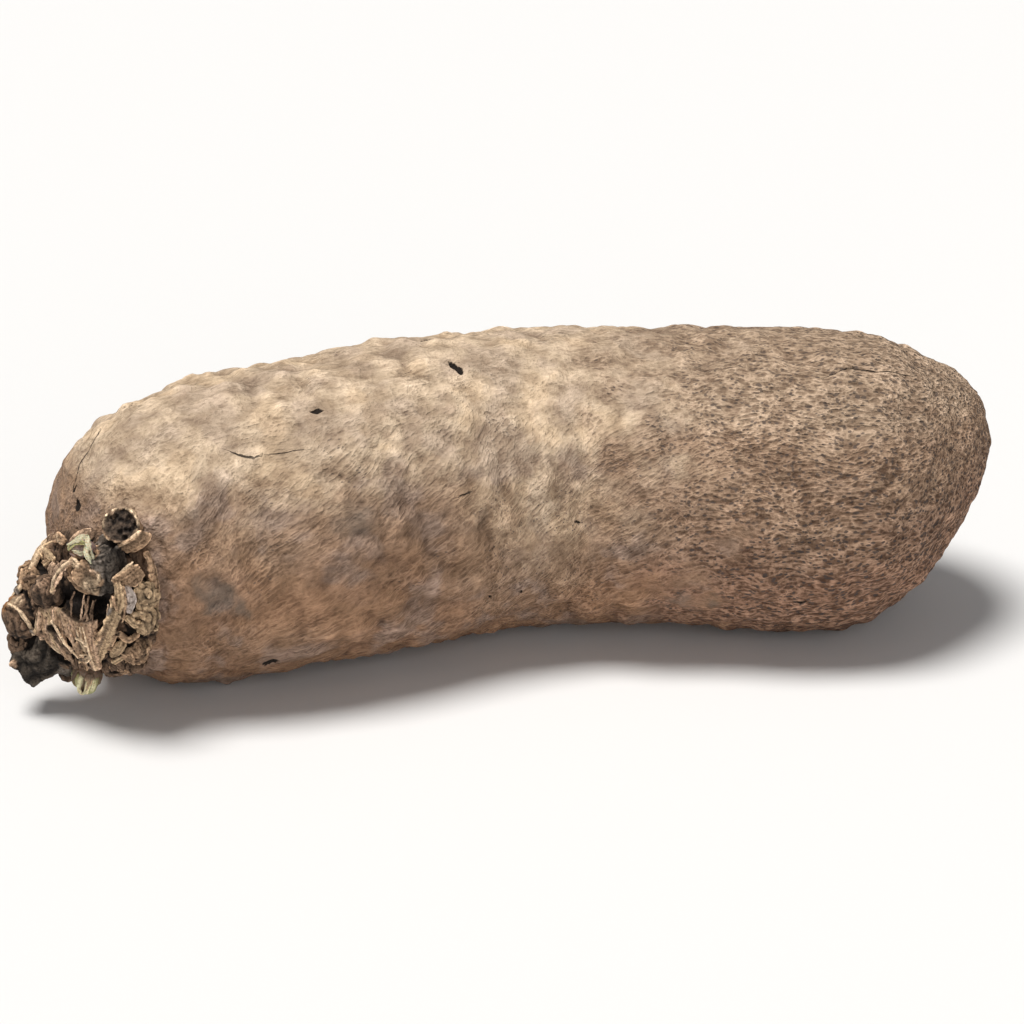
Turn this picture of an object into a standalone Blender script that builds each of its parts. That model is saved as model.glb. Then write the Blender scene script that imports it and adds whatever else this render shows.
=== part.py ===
"""Yam tuber, dug and trimmed: one long swollen root lying on its side, with the woody crown that its vines
grew from at one end and two live buds on the crown.

Metres, +Z up. The tuber lies along X with its crown at -X and its tip at +X, and bows towards +Y. It rests on
z = 0, on the low flats under its head and tip. Runs with blender --background --python part.py, or from
Blender's text editor.
"""

import math

import bmesh
import bpy
from mathutils import Matrix, Vector, noise

MM = 0.001

# The tuber, one lofted body. The stations are shares of BODY_LENGTH along it and of THICKNESS across it.
BODY_LENGTH = 0.3125
THICKNESS = 0.102
STATIONS = (
    # along, bow, centre height, half thickness, half width
    (0.00, -0.14, 0.450, 0.410, 0.440),
    (0.06, -0.08, 0.462, 0.448, 0.460),
    (0.13, -0.02, 0.473, 0.479, 0.485),
    (0.22, 0.03, 0.487, 0.493, 0.503),
    (0.33, 0.12, 0.496, 0.502, 0.510),
    (0.43, 0.20, 0.494, 0.500, 0.508),
    (0.53, 0.22, 0.488, 0.491, 0.508),
    (0.64, 0.17, 0.489, 0.491, 0.520),
    (0.76, 0.10, 0.490, 0.495, 0.530),
    (0.86, 0.04, 0.495, 0.495, 0.520),
    (0.94, 0.01, 0.545, 0.470, 0.485),
    (1.00, -0.02, 0.630, 0.440, 0.460),
)
HEAD_CAP, HEAD_BLUNT = 0.14, 2.6
TIP_CAP, TIP_BLUNT = 0.19, 2.0
TUBER_RINGS, TUBER_SIDES = 58, 60
SWELL_PITCH, SWELL_HEIGHT = 0.030, 0.0016
LUMP_PITCH, LUMP_HEIGHT = 0.013, 0.0006

# The crown's own frame: its seat on the tuber's head, and which way it looks.
SEAT = (-0.1441, -0.0383, 0.0509)
CROWN_YAW = 46.0
CROWN_DIP = 10.0
CLEARANCE = 0.0003
WELD = 1e-7

# Places in the crown's frame are in millimetres: across to its right, up, and out from the tuber.
PAD = ((-5.0, -8.0, -2.0), (24.0, 24.5, 10.5))
LUMPS = (
    # centre, half sizes
    ((-16.0, 3.0, -1.0), (8.0, 8.5, 6.5)),
    ((-24.3, -6.3, 3.0), (8.5, 9.0, 7.0)),
    ((-17.0, -12.0, 6.0), (8.5, 9.5, 8.0)),
    ((3.0, 9.0, 5.5), (8.0, 7.5, 8.5)),
    ((-4.0, -15.0, 7.5), (10.0, 12.5, 7.5)),
    ((-14.5, -3.0, 9.0), (6.0, 6.5, 6.5)),
    ((-27.5, -15.0, 11.0), (6.8, 7.4, 6.8)),
    ((-29.0, -24.0, 12.5), (5.0, 5.0, 5.0)),
    ((-16.0, -32.0, 9.0), (4.5, 4.0, 5.0)),
    ((-9.0, -28.0, 5.0), (7.0, 5.5, 6.0)),
    ((4.5, -27.0, 1.5), (8.0, 5.5, 5.5)),
    ((0.5, -30.0, 2.5), (4.5, 4.5, 4.5)),
    ((19.0, 1.5, 2.0), (4.0, 5.0, 5.0)),
    ((18.0, -7.5, 3.0), (4.5, 5.5, 5.0)),
    ((12.0, -19.0, 4.0), (6.0, 6.0, 5.0)),
)
STUBS = (
    # root, cut face, radius at the root, radius at the face
    ((6.0, 12.0, -10.0), (11.5, 24.2, -1.6), 5.3, 5.8),
    ((8.0, 4.0, 3.0), (5.0, 18.5, 4.5), 6.6, 5.6),
    ((-13.0, -20.0, 2.0), (-29.2, -34.0, 15.2), 8.2, 7.8),
)
SHEATHS = (
    # centre, way it opens, radius, wall, height, first and last angle from across towards up
    ((7.5, 16.5, -9.0), (0.37, 0.70, 0.61), 7.4, 1.2, 12.0, -125.0, 15.0),
    ((6.0, 7.0, -2.0), (0.30, 0.10, 0.95), 11.0, 1.5, 12.0, -50.0, 45.0),
    ((3.0, 8.0, 4.0), (0.0, 0.0, 1.0), 9.4, 1.8, 12.0, 85.0, 215.0),
    ((-4.0, -5.5, -2.0), (0.1, 0.0, 1.0), 17.0, 3.4, 15.0, -80.0, 40.0),
    ((-4.0, -6.0, -4.0), (0.15, 0.0, 1.0), 20.5, 2.0, 13.5, -65.0, 35.0),
    ((-4.0, -6.5, -8.0), (0.1, 0.0, 1.0), 24.5, 2.0, 13.0, -95.0, 35.0),
    ((-6.0, -8.0, -8.0), (-0.1, 0.0, 1.0), 22.0, 2.0, 13.0, 95.0, 160.0),
    ((-5.0, -7.0, -8.0), (0.0, -0.2, 1.0), 24.0, 2.0, 15.0, -165.0, -110.0),
)
HOLLOW = ((1.5, 0.0, 13.0), (7.0, 4.5, 9.0))
SHOOT_BUD = ((-6.0, -29.0, 6.0), (-10.0, -40.0, 9.0), 4.3)
TORN_BUD = ((3.0, 16.0, 5.0), (0.5, 20.0, 12.0), 3.6)
ROUGH_PITCH, ROUGH_HEIGHT = 4.8, 0.6
BUD_BELLY, BUD_PLUMP = 0.8, 0.7
SHEATH_STEP = 14.0
SHEATH_RAGGED = 0.12

TAN_SKIN = (0.42, 0.31, 0.21)
BARK_BROWN = (0.15, 0.10, 0.065)
BUD_GREEN = (0.48, 0.47, 0.24)


def clear_scene():
    """Leave an empty scene to build in."""
    for old in list(bpy.data.objects):
        bpy.data.objects.remove(old, do_unlink=True)


def finish_material(name, color, roughness):
    """A plain Principled finish for one piece."""
    material = bpy.data.materials.new(name)
    material.use_nodes = True
    shader = material.node_tree.nodes["Principled BSDF"]
    shader.inputs["Base Color"].default_value = (*color, 1.0)
    shader.inputs["Roughness"].default_value = roughness
    return material


def as_object(name, bm):
    """Turn a bmesh into a named, smooth-shaded object in the scene."""
    bmesh.ops.recalc_face_normals(bm, faces=bm.faces)
    mesh = bpy.data.meshes.new(name)
    bm.to_mesh(mesh)
    bm.free()
    mesh.shade_smooth()
    made = bpy.data.objects.new(name, mesh)
    bpy.context.scene.collection.objects.link(made)
    return made


def station_row(along):
    """Bow, centre height, half thickness and half width at a share of the length, on a smooth cubic."""
    gap = next((i for i in range(len(STATIONS) - 2) if along < STATIONS[i + 1][0]), len(STATIONS) - 2)

    def step(i):
        span = STATIONS[i + 1][0] - STATIONS[i][0]
        return [(after - before) / span for before, after in zip(STATIONS[i], STATIONS[i + 1])]

    def slope(i):
        if i in (0, len(STATIONS) - 1):
            return step(min(i, len(STATIONS) - 2))
        before, after = STATIONS[i][0] - STATIONS[i - 1][0], STATIONS[i + 1][0] - STATIONS[i][0]
        return [(a * after + b * before) / (before + after) for a, b in zip(step(i - 1), step(i))]

    start, end = STATIONS[gap], STATIONS[gap + 1]
    span = end[0] - start[0]
    t = (along - start[0]) / span
    rows = zip(start, end, slope(gap), slope(gap + 1))
    row = [
        (2 * t**3 - 3 * t**2 + 1) * a + (3 * t**2 - 2 * t**3) * b
        + span * ((t**3 - 2 * t**2 + t) * slope_a + (t**3 - t**2) * slope_b)
        for a, b, slope_a, slope_b in rows
    ]
    return row[1:]


def end_share(share, blunt):
    """How much of the full section is left at a share of the way into a rounded end."""
    return (1 - (1 - min(share, 1.0)) ** blunt) ** (1 / blunt)


def section_centre(along):
    """The middle of the tuber's section at a share of its length."""
    bow, height = station_row(along)[:2]
    return Vector(((along - 0.5) * BODY_LENGTH, bow * THICKNESS, height * THICKNESS))


def tuber_point(along, turn):
    """A point of the tuber's skin, at a share of its length and an angle round it."""
    near = 0.002
    run = section_centre(min(along + near, 1.0)) - section_centre(max(along - near, 0.0))
    across = Vector((-run.y, run.x, 0.0)).normalized()
    half_thickness, half_width = (size * THICKNESS for size in station_row(along)[2:])
    share = end_share(along / HEAD_CAP, HEAD_BLUNT) * end_share((1 - along) / TIP_CAP, TIP_BLUNT)
    spoke = across * half_width * math.cos(turn) + Vector((0, 0, half_thickness * math.sin(turn)))
    point = section_centre(along) + spoke * share
    relief = noise.noise(point / SWELL_PITCH) * SWELL_HEIGHT + noise.noise(point / LUMP_PITCH) * LUMP_HEIGHT
    point += spoke.normalized() * relief * share
    point.z = max(point.z, 0.0)
    return point


def ringed_solid(rings, start, end):
    """A closed skin over rings of points, drawn in to a point at each end."""
    bm = bmesh.new()
    loops = [[bm.verts.new(point) for point in ring] for ring in rings]
    ends = bm.verts.new(start), bm.verts.new(end)
    for near, far in zip(loops, loops[1:]):
        for i, vert in enumerate(near):
            bm.faces.new((near[i - 1], vert, far[i], far[i - 1]))
    for loop, tip in ((loops[0], ends[0]), (loops[-1], ends[1])):
        for i, vert in enumerate(loop):
            bm.faces.new((loop[i - 1], vert, tip))
    return bm


def tuber_skin():
    """The tuber's closed skin, its rings drawn closer together towards both ends."""
    shares = [(1 - math.cos(math.pi * i / TUBER_RINGS)) / 2 for i in range(1, TUBER_RINGS)]
    turns = [2 * math.pi * i / TUBER_SIDES for i in range(TUBER_SIDES)]
    rings = [[tuber_point(along, turn) for turn in turns] for along in shares]
    return ringed_solid(rings, section_centre(0.0), section_centre(1.0))


def crown_frame():
    """The matrix from millimetres in the crown's frame to metres in the part's."""
    yaw, dip = math.radians(CROWN_YAW), math.radians(CROWN_DIP)
    out = Vector((-math.cos(yaw) * math.cos(dip), -math.sin(yaw) * math.cos(dip), -math.sin(dip)))
    across = Vector((math.sin(yaw), -math.cos(yaw), 0.0))
    up = out.cross(across)
    turned = Matrix((across, up, out)).transposed().to_4x4()
    return Matrix.Translation(Vector(SEAT)) @ turned @ Matrix.Scale(MM, 4)


def roughen(bm):
    """Put low bumps on a piece of the crown, so that no face of it is truly round."""
    bm.normal_update()
    for vert in bm.verts:
        vert.co += vert.normal * noise.noise(vert.co / ROUGH_PITCH) * ROUGH_HEIGHT


def lump(name, centre, half_sizes, rings=8, boxy=1.0):
    """A rounded swelling, boxier where boxy is under 1."""
    def rounded(value):
        return math.copysign(abs(value) ** boxy, value)

    def place(level, turn):
        flat = rounded(math.sin(level))
        unit = (flat * math.cos(turn), flat * math.sin(turn), rounded(math.cos(level)))
        return Vector(centre) + Vector([u * size for u, size in zip(unit, half_sizes)])

    levels = [math.pi * i / rings for i in range(1, rings)]
    turns = [math.pi * i / rings for i in range(2 * rings)]
    bm = ringed_solid(
        [[place(level, turn) for turn in turns] for level in levels], place(0.0, 0.0), place(math.pi, 0.0)
    )
    roughen(bm)
    return as_object(name, bm)


def turned_about(root, tip):
    """The matrix that puts +Z on the way from root to tip, and the distance between them."""
    way = Vector(tip) - Vector(root)
    return Matrix.Translation(Vector(root)) @ way.to_track_quat("Z", "Y").to_matrix().to_4x4(), way.length


def stub(name, root, tip, root_radius, tip_radius, sides=14):
    """The foot of an old vine, cut off square and dried hollow in the middle."""
    place, length = turned_about(root, tip)
    profile = (
        # share of the length, radius
        (0.0, root_radius),
        (0.4, root_radius),
        (0.75, tip_radius),
        (0.95, tip_radius),
        (1.0, 0.88 * tip_radius),
        (0.93, 0.66 * tip_radius),
    )
    turns = [2 * math.pi * i / sides for i in range(sides)]
    rings = [
        [place @ Vector((r * math.cos(a), r * math.sin(a), share * length)) for a in turns]
        for share, r in profile
    ]
    bm = ringed_solid(rings, place @ Vector((0, 0, 0)), place @ Vector((0, 0, 0.9 * length)))
    roughen(bm)
    return as_object(name, bm)


def sheath(name, centre, way, radius, wall, height, first, last):
    """Part of the wall that a leaf or a shed vine left round its foot, thinner and ragged at its rim."""
    place, _ = turned_about(centre, Vector(centre) + Vector(way))
    # The zero angle is brought onto the crown's across direction.
    across = place.to_3x3().inverted() @ Vector((1, 0, 0))
    zero = math.atan2(across.y, across.x)
    count = round((last - first) / SHEATH_STEP)
    bm = bmesh.new()
    sections = []
    for i in range(count + 1):
        angle = zero + math.radians(first + (last - first) * i / count)
        fade = math.sin(math.pi * (i + 0.6) / (count + 1.2)) ** 0.5
        rim = height * fade * (1 + SHEATH_RAGGED * (-1) ** i)
        corners = ((radius - wall, 0.0), (radius, 0.0), (radius + wall / 3, rim), (radius - wall / 3, rim))
        sections.append([
            bm.verts.new(place @ Vector((r * math.cos(angle), r * math.sin(angle), z))) for r, z in corners
        ])
    for near, far in zip(sections, sections[1:]):
        for i in range(4):
            bm.faces.new((near[i - 1], near[i], far[i], far[i - 1]))
    bm.faces.new(sections[0])
    bm.faces.new(list(reversed(sections[-1])))
    bmesh.ops.triangulate(bm, faces=bm.faces)
    return as_object(name, bm)


def bud(name, root, tip, radius, rings=9, sides=12, grow=0.0):
    """A plump pointed bud, grown all round by a clearance where it is used to cut its own seat."""
    place, length = turned_about(root, tip)
    turns = [2 * math.pi * i / sides for i in range(sides)]
    loops = []
    for share in (i / rings for i in range(1, rings)):
        wide = radius * math.sin(math.pi * share ** BUD_BELLY) ** BUD_PLUMP + grow
        loops.append([place @ Vector((wide * math.cos(a), wide * math.sin(a), share * length)) for a in turns])
    bm = ringed_solid(loops, place @ Vector((0, 0, -grow)), place @ Vector((0, 0, length + grow)))
    return as_object(name, bm)


def apply_boolean(target, operation, cutter):
    """Join a collection to the target, or cut one object from it, and remove what was used."""
    change = target.modifiers.new("joined", "BOOLEAN")
    change.operation = operation
    change.solver = "EXACT"
    used = [cutter]
    if isinstance(cutter, bpy.types.Collection):
        change.operand_type = "COLLECTION"
        change.collection = cutter
        used = list(cutter.objects)
    else:
        change.object = cutter
    bpy.context.view_layer.update()
    graph = bpy.context.evaluated_depsgraph_get()
    made = bpy.data.meshes.new_from_object(target.evaluated_get(graph))
    target.modifiers.clear()
    target.data = made
    for piece in used:
        bpy.data.objects.remove(piece, do_unlink=True)
    keep_one_body(target.data)


def keep_one_body(mesh):
    """Drop sealed hollows and loose scraps, so that only the outermost closed skin is left."""
    bm = bmesh.new()
    bm.from_mesh(mesh)
    bmesh.ops.remove_doubles(bm, verts=bm.verts, dist=WELD)
    left = set(bm.verts)
    bodies = []
    while left:
        reached = {left.pop()}
        waiting = list(reached)
        while waiting:
            vert = waiting.pop()
            for other in (edge.other_vert(vert) for edge in vert.link_edges):
                if other in left:
                    left.remove(other)
                    reached.add(other)
                    waiting.append(other)
        bodies.append(reached)
    bodies.sort(key=lambda body: max(v.co.x for v in body) - min(v.co.x for v in body))
    for scrap in bodies[:-1]:
        bmesh.ops.delete(bm, geom=list(scrap), context="VERTS")
    bm.to_mesh(mesh)
    bm.free()
    mesh.shade_smooth()


def grown_tuber(clearance):
    """The tuber pushed out all over by a clearance, to cut the seat of what grows on it."""
    bm = tuber_skin()
    bmesh.ops.recalc_face_normals(bm, faces=bm.faces)
    bm.normal_update()
    for vert in bm.verts:
        vert.co += vert.normal * clearance
    return as_object("grown_tuber", bm)


def to_world(made):
    """Carry a piece made in the crown's frame into the part's."""
    made.data.transform(crown_frame())
    return made


def build_tuber():
    """The swollen root itself, in one piece."""
    made = as_object("tuber", tuber_skin())
    made.data.materials.append(finish_material("tan_skin", TAN_SKIN, 0.85))
    return made


def build_crown():
    """The woody crown: a pad, its knobs, the cut feet of its vines and the sheaths round them."""
    made = lump("crown", *PAD, rings=14, boxy=0.8)
    pieces = bpy.data.collections.new("crown_pieces")
    bpy.context.scene.collection.children.link(pieces)
    grown = [lump(f"lump_{i}", *row) for i, row in enumerate(LUMPS)]
    grown += [stub(f"stub_{i}", *row) for i, row in enumerate(STUBS)]
    grown += [sheath(f"sheath_{i}", *row) for i, row in enumerate(SHEATHS)]
    for piece in grown:
        bpy.context.scene.collection.objects.unlink(piece)
        pieces.objects.link(piece)
    apply_boolean(made, "UNION", pieces)
    bpy.data.collections.remove(pieces)
    apply_boolean(made, "DIFFERENCE", lump("hollow", *HOLLOW))
    for row in (SHOOT_BUD, TORN_BUD):
        apply_boolean(made, "DIFFERENCE", bud("bud_seat", *row, grow=CLEARANCE / MM))
    to_world(made)
    apply_boolean(made, "DIFFERENCE", grown_tuber(CLEARANCE))
    made.data.materials.clear()
    made.data.materials.append(finish_material("bark_brown", BARK_BROWN, 0.9))
    return made


def build_bud(name, row):
    """One live bud, standing in its own seat in the crown."""
    made = to_world(bud(name, *row))
    apply_boolean(made, "DIFFERENCE", grown_tuber(CLEARANCE))
    made.data.materials.clear()
    made.data.materials.append(finish_material(name + "_green", BUD_GREEN, 0.55))
    return made


def centre_on_base(parts):
    """Put the middle of the part's base at the origin, so that it stands on z = 0."""
    corners = [vert.co for part in parts for vert in part.data.vertices]
    middle = [(min(co[i] for co in corners) + max(co[i] for co in corners)) / 2 for i in range(2)]
    floor = min(co.z for co in corners)
    for part in parts:
        part.data.transform(Matrix.Translation((-middle[0], -middle[1], -floor)))


def main():
    clear_scene()
    parts = [build_tuber(), build_crown(), build_bud("shoot_bud", SHOOT_BUD), build_bud("torn_bud", TORN_BUD)]
    centre_on_base(parts)


main()
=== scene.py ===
"""The looks of a yam tuber, dug and trimmed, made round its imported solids.

The tuber is one fine skin over the loft that its solid follows. The crown and the two buds are modelled as in
clay: forms are added to a volume and cut from it, each with its own paint, and the result is meshed. The part's
frame is in metres with +Z up. The crown's frame is in millimetres: across to its right, up, and out from the
tuber.
"""

import logging
import math
from dataclasses import dataclass, field
from enum import Enum
from typing import Any, Callable, Optional, Sequence, Union

import bpy
import numpy as np
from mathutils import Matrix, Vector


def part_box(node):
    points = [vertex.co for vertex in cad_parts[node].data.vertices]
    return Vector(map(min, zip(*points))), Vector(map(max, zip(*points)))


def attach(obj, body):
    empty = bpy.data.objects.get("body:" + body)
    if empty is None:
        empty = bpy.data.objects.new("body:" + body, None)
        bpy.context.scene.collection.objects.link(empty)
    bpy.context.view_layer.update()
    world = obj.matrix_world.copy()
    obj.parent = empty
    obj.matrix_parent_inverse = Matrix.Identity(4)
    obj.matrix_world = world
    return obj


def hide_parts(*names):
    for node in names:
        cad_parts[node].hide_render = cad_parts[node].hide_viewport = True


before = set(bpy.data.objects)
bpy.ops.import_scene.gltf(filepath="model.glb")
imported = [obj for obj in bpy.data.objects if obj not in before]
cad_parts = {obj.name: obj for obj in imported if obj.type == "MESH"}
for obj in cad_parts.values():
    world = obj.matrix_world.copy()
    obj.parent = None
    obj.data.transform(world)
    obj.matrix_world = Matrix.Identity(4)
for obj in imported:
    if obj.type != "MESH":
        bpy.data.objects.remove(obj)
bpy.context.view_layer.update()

import openvdb
from mathutils import Matrix, Vector, noise
from mathutils.bvhtree import BVHTree

LOG = logging.getLogger("yam")

MM = 0.001
Triple = tuple[float, float, float]
Pitch = Union[float, Triple]


class Slot(Enum):
    """The record's material slots."""

    SKIN = "tan_skin"
    BARK = "bark_brown"
    BUD = "bud_green"
    TORN = "torn_green"


class Wire:
    """One output of a node, with shader maths written as Python operators."""

    def __init__(self, bench: "Bench", socket: bpy.types.NodeSocket) -> None:
        """Keep the bench that new nodes go on and the socket that they read."""
        self.bench = bench
        self.socket = socket

    def __add__(self, other: "Operand") -> "Wire":
        """This plus another."""
        return self.bench.combine("ADD", self, other)

    def __radd__(self, other: "Operand") -> "Wire":
        """Another plus this."""
        return self.bench.combine("ADD", other, self)

    def __sub__(self, other: "Operand") -> "Wire":
        """This less another."""
        return self.bench.combine("SUBTRACT", self, other)

    def __rsub__(self, other: "Operand") -> "Wire":
        """Another less this."""
        return self.bench.combine("SUBTRACT", other, self)

    def __mul__(self, other: "Operand") -> "Wire":
        """This times another."""
        return self.bench.combine("MULTIPLY", self, other)

    def __rmul__(self, other: "Operand") -> "Wire":
        """Another times this."""
        return self.bench.combine("MULTIPLY", other, self)

    def __abs__(self) -> "Wire":
        """This without its sign."""
        return self.bench.node("ShaderNodeMath", {"operation": "ABSOLUTE"}, {0: self})


Operand = Union[Wire, float, Sequence[float]]


class Bench:
    """One material's nodes, and the few ways in which they are made."""

    def __init__(self, name: str) -> None:
        """Start a material that holds only its Principled shader.

        Args:
            name: the material's name.
        """
        self.material = bpy.data.materials.new(name)
        self.material.use_nodes = True
        self.tree = self.material.node_tree
        self.shader = self.tree.nodes["Principled BSDF"]

    def feed(self, socket: bpy.types.NodeSocket, value: Operand) -> None:
        """Link a wire to a socket, or set the socket's own value.

        Args:
            socket: the input to fill.
            value: a wire, a number, or a vector or colour as numbers.
        """
        if isinstance(value, Wire):
            self.tree.links.new(value.socket, socket)
        elif socket.type == "RGBA":
            shades = [value] * 3 if isinstance(value, (int, float)) else list(value)[:3]
            socket.default_value = (*shades, 1.0)
        elif socket.type == "VECTOR" and isinstance(value, (int, float)):
            socket.default_value = (value, value, value)
        else:
            socket.default_value = value

    def node(self, kind: str, settings: dict[str, Any], sockets: dict[Any, Operand], output: Any = 0) -> Wire:
        """Make any node.

        Args:
            kind: the node's type.
            settings: its properties, set first.
            sockets: values or wires for its inputs, by name or place.
            output: the output to read, by name or place.

        Returns:
            The chosen output.
        """
        made = self.tree.nodes.new(kind)
        for name, value in settings.items():
            setattr(made, name, value)
        for name, value in sockets.items():
            self.feed(made.inputs[name], value)
        return Wire(self, made.outputs[output])

    def combine(self, operation: str, first: Operand, second: Operand) -> Wire:
        """Add, subtract or multiply two operands by the node that suits them.

        Args:
            operation: ADD, SUBTRACT or MULTIPLY.
            first: the left operand.
            second: the right operand.

        Returns:
            Their number, vector or colour.
        """
        kinds = {value.socket.type for value in (first, second) if isinstance(value, Wire)}
        if "RGBA" in kinds:
            return self.mix(1.0, first, second, operation)
        if "VECTOR" in kinds or not all(isinstance(v, (Wire, int, float)) for v in (first, second)):
            return self.node("ShaderNodeVectorMath", {"operation": operation}, {0: first, 1: second})
        return self.node("ShaderNodeMath", {"operation": operation}, {0: first, 1: second})

    def mix(self, amount: Operand, first: Operand, second: Operand, blend: str = "MIX") -> Wire:
        """Mix two colours, by the second one's share."""
        settings = {"data_type": "RGBA", "blend_type": blend, "clamp_factor": True}
        return self.node("ShaderNodeMix", settings, {0: amount, 6: first, 7: second}, 2)

    def toned(self, color: Wire, *layers: tuple[Operand, Triple]) -> Wire:
        """Lighten and darken a colour, layer by layer.

        Args:
            color: the colour.
            layers: how much of each layer shows, and the tone that it multiplies the colour by.

        Returns:
            The toned colour.
        """
        for amount, tone in layers:
            color = self.mix(amount, color, color * tone)
        return color

    def between(self, amount: Operand, first: Operand, second: Operand) -> Wire:
        """A number that goes from the first to the second as the amount goes from 0 to 1."""
        settings = {"data_type": "FLOAT", "clamp_factor": True}
        return self.node("ShaderNodeMix", settings, {0: amount, 2: first, 3: second})

    def rise(self, value: Operand, low: float, high: float) -> Wire:
        """A soft step from 0 at low to 1 at high, or the other way round where low is the larger.

        Args:
            value: what is read.
            low: the value where the step is 0.
            high: the value where it is 1.

        Returns:
            The step.
        """
        settings = {"interpolation_type": "SMOOTHSTEP", "clamp": True}
        limits = {"From Min": min(low, high), "From Max": max(low, high)}
        step = self.node("ShaderNodeMapRange", settings, {"Value": value, **limits})
        return step if low < high else 1.0 - step

    def vector(self, name: str) -> Wire:
        """A mesh attribute that holds a vector."""
        return self.node("ShaderNodeAttribute", {"attribute_name": name}, {}, "Vector")

    def color(self, name: str) -> Wire:
        """A mesh attribute that holds a colour."""
        return self.node("ShaderNodeAttribute", {"attribute_name": name}, {}, "Color")

    def number(self, name: str) -> Wire:
        """A mesh attribute that holds one number."""
        return self.node("ShaderNodeAttribute", {"attribute_name": name}, {}, "Fac")

    def scaled(self, place: Wire, pitch: Pitch) -> Wire:
        """A place in pitches, of one size or of one for each axis."""
        sizes = (pitch,) * 3 if isinstance(pitch, (int, float)) else pitch
        return place * tuple(1.0 / size for size in sizes)

    def noise(self, place: Wire, pitch: Pitch, detail: float = 2.0, rough: float = 0.6) -> Wire:
        """Smooth noise round 0.5, with swells of a pitch in millimetres and finer, rougher layers."""
        sockets = {"Vector": self.scaled(place, pitch), "Scale": 1.0, "Detail": detail, "Roughness": rough}
        return self.node("ShaderNodeTexNoise", {}, sockets)

    def cells(self, place: Wire, pitch: Pitch) -> Wire:
        """How far it is to the nearest of many scattered dots, as a share of their pitch."""
        return self.node("ShaderNodeTexVoronoi", {}, {"Vector": self.scaled(place, pitch), "Scale": 1.0})

    def finish(self, color: Operand, roughness: Operand, height: Wire, **constants: float) -> bpy.types.Material:
        """Join the finished looks to the shader.

        Args:
            color: the base colour.
            roughness: how matt it is.
            height: the relief too fine for the mesh, in millimetres.
            constants: other sockets of the shader, by name with underscores for spaces.

        Returns:
            The material.
        """
        bump = self.node("ShaderNodeBump", {}, {"Strength": 1.0, "Distance": MM, "Height": height})
        looks = {"Base_Color": color, "Roughness": roughness, "Normal": bump, **constants}
        for name, value in looks.items():
            self.feed(self.shader.inputs[name.replace("_", " ")], value)
        return self.material


def smooth_step(low: float, high: float, value: np.ndarray) -> np.ndarray:
    """A soft step from 0 at low to 1 at high, or the other way round where low is the larger."""
    share = np.clip((value - low) / (high - low), 0.0, 1.0)
    return share * share * (3.0 - 2.0 * share)


def band(value: np.ndarray, start: float, full: float, waning: float, end: float, height: float = 1.0) -> np.ndarray:
    """A soft band, at its height from full to waning and 0 before its start and after its end."""
    return height * smooth_step(start, full, value) * smooth_step(end, waning, value)


def sampled(function: Callable[[Vector], float], places: np.ndarray) -> np.ndarray:
    """A function of a place, read at rows of x, y and z."""
    return np.array([function(Vector(place)) for place in places.tolist()])


def swells(places: np.ndarray, pitch: float = 1.0) -> np.ndarray:
    """Smooth noise from -1 to 1 with swells of one pitch, read at rows of x, y and z."""
    return sampled(lambda p: noise.noise(p / pitch), places)


def clouds(places: np.ndarray, pitch: float, fade: float, finer: float, layers: int) -> np.ndarray:
    """Smooth noise round 0 in finer and finer layers, each fainter than the one before."""
    return sampled(lambda p: noise.fractal(p / pitch, fade, finer, layers), places)


def quad_edges(quads: np.ndarray) -> np.ndarray:
    """The four sides of each quad, as rows of two point numbers."""
    return np.concatenate([quads[:, [i, (i + 1) % 4]] for i in range(4)])


def relaxed(points: np.ndarray, edges: np.ndarray, rounds: int) -> np.ndarray:
    """A mesh's points, each drawn again and again towards the middle of its neighbours.

    Args:
        points: rows of x, y and z.
        edges: rows of two point numbers.
        rounds: how many times.

    Returns:
        The relaxed points.
    """
    total = len(points)
    neighbours = np.maximum(np.bincount(edges.ravel(), minlength=total), 1)[:, None]
    for _ in range(rounds):
        pulled = np.zeros_like(points)
        for axis in range(3):
            for near, far in ((0, 1), (1, 0)):
                pulled[:, axis] += np.bincount(edges[:, near], weights=points[edges[:, far], axis], minlength=total)
        points = 0.5 * points + 0.5 * pulled / neighbours
    return points


@dataclass
class Piece:
    """A mesh in the making, with what its finish reads at each point."""

    name: str
    points: np.ndarray
    faces: list[tuple[int, ...]]
    numbers: dict[str, np.ndarray] = field(default_factory=dict)
    vectors: dict[str, np.ndarray] = field(default_factory=dict)
    colors: dict[str, np.ndarray] = field(default_factory=dict)

    def made(self, slot: Slot, *replaced: str) -> bpy.types.Object:
        """Turn the piece into an object that rides on the part's one body.

        Args:
            slot: not used.
            replaced: the solids that it stands for.

        Returns:
            The object.
        """
        mesh = bpy.data.meshes.new(self.name)
        mesh.from_pydata(self.points.tolist(), [], self.faces)
        mesh.shade_smooth()
        kinds = (("FLOAT", "value", self.numbers), ("FLOAT_VECTOR", "vector", self.vectors))
        for kind, member, values in (*kinds, ("FLOAT_COLOR", "color", self.colors)):
            for name, rows in values.items():
                if kind == "FLOAT_COLOR":
                    rows = np.concatenate([rows, np.ones((len(rows), 1))], axis=1)
                layer = mesh.attributes.new(name, kind, "POINT")
                layer.data.foreach_set(member, np.ascontiguousarray(rows, dtype=np.float32).ravel())
        thing = bpy.data.objects.new(self.name, mesh)
        bpy.context.scene.collection.objects.link(thing)
        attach(thing, "root")
        if replaced:
            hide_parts(*replaced)
        triangles = sum(len(face) - 2 for face in self.faces)
        LOG.info("%s: %d points, %d triangles", self.name, len(self.points), triangles)
        return thing


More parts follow.
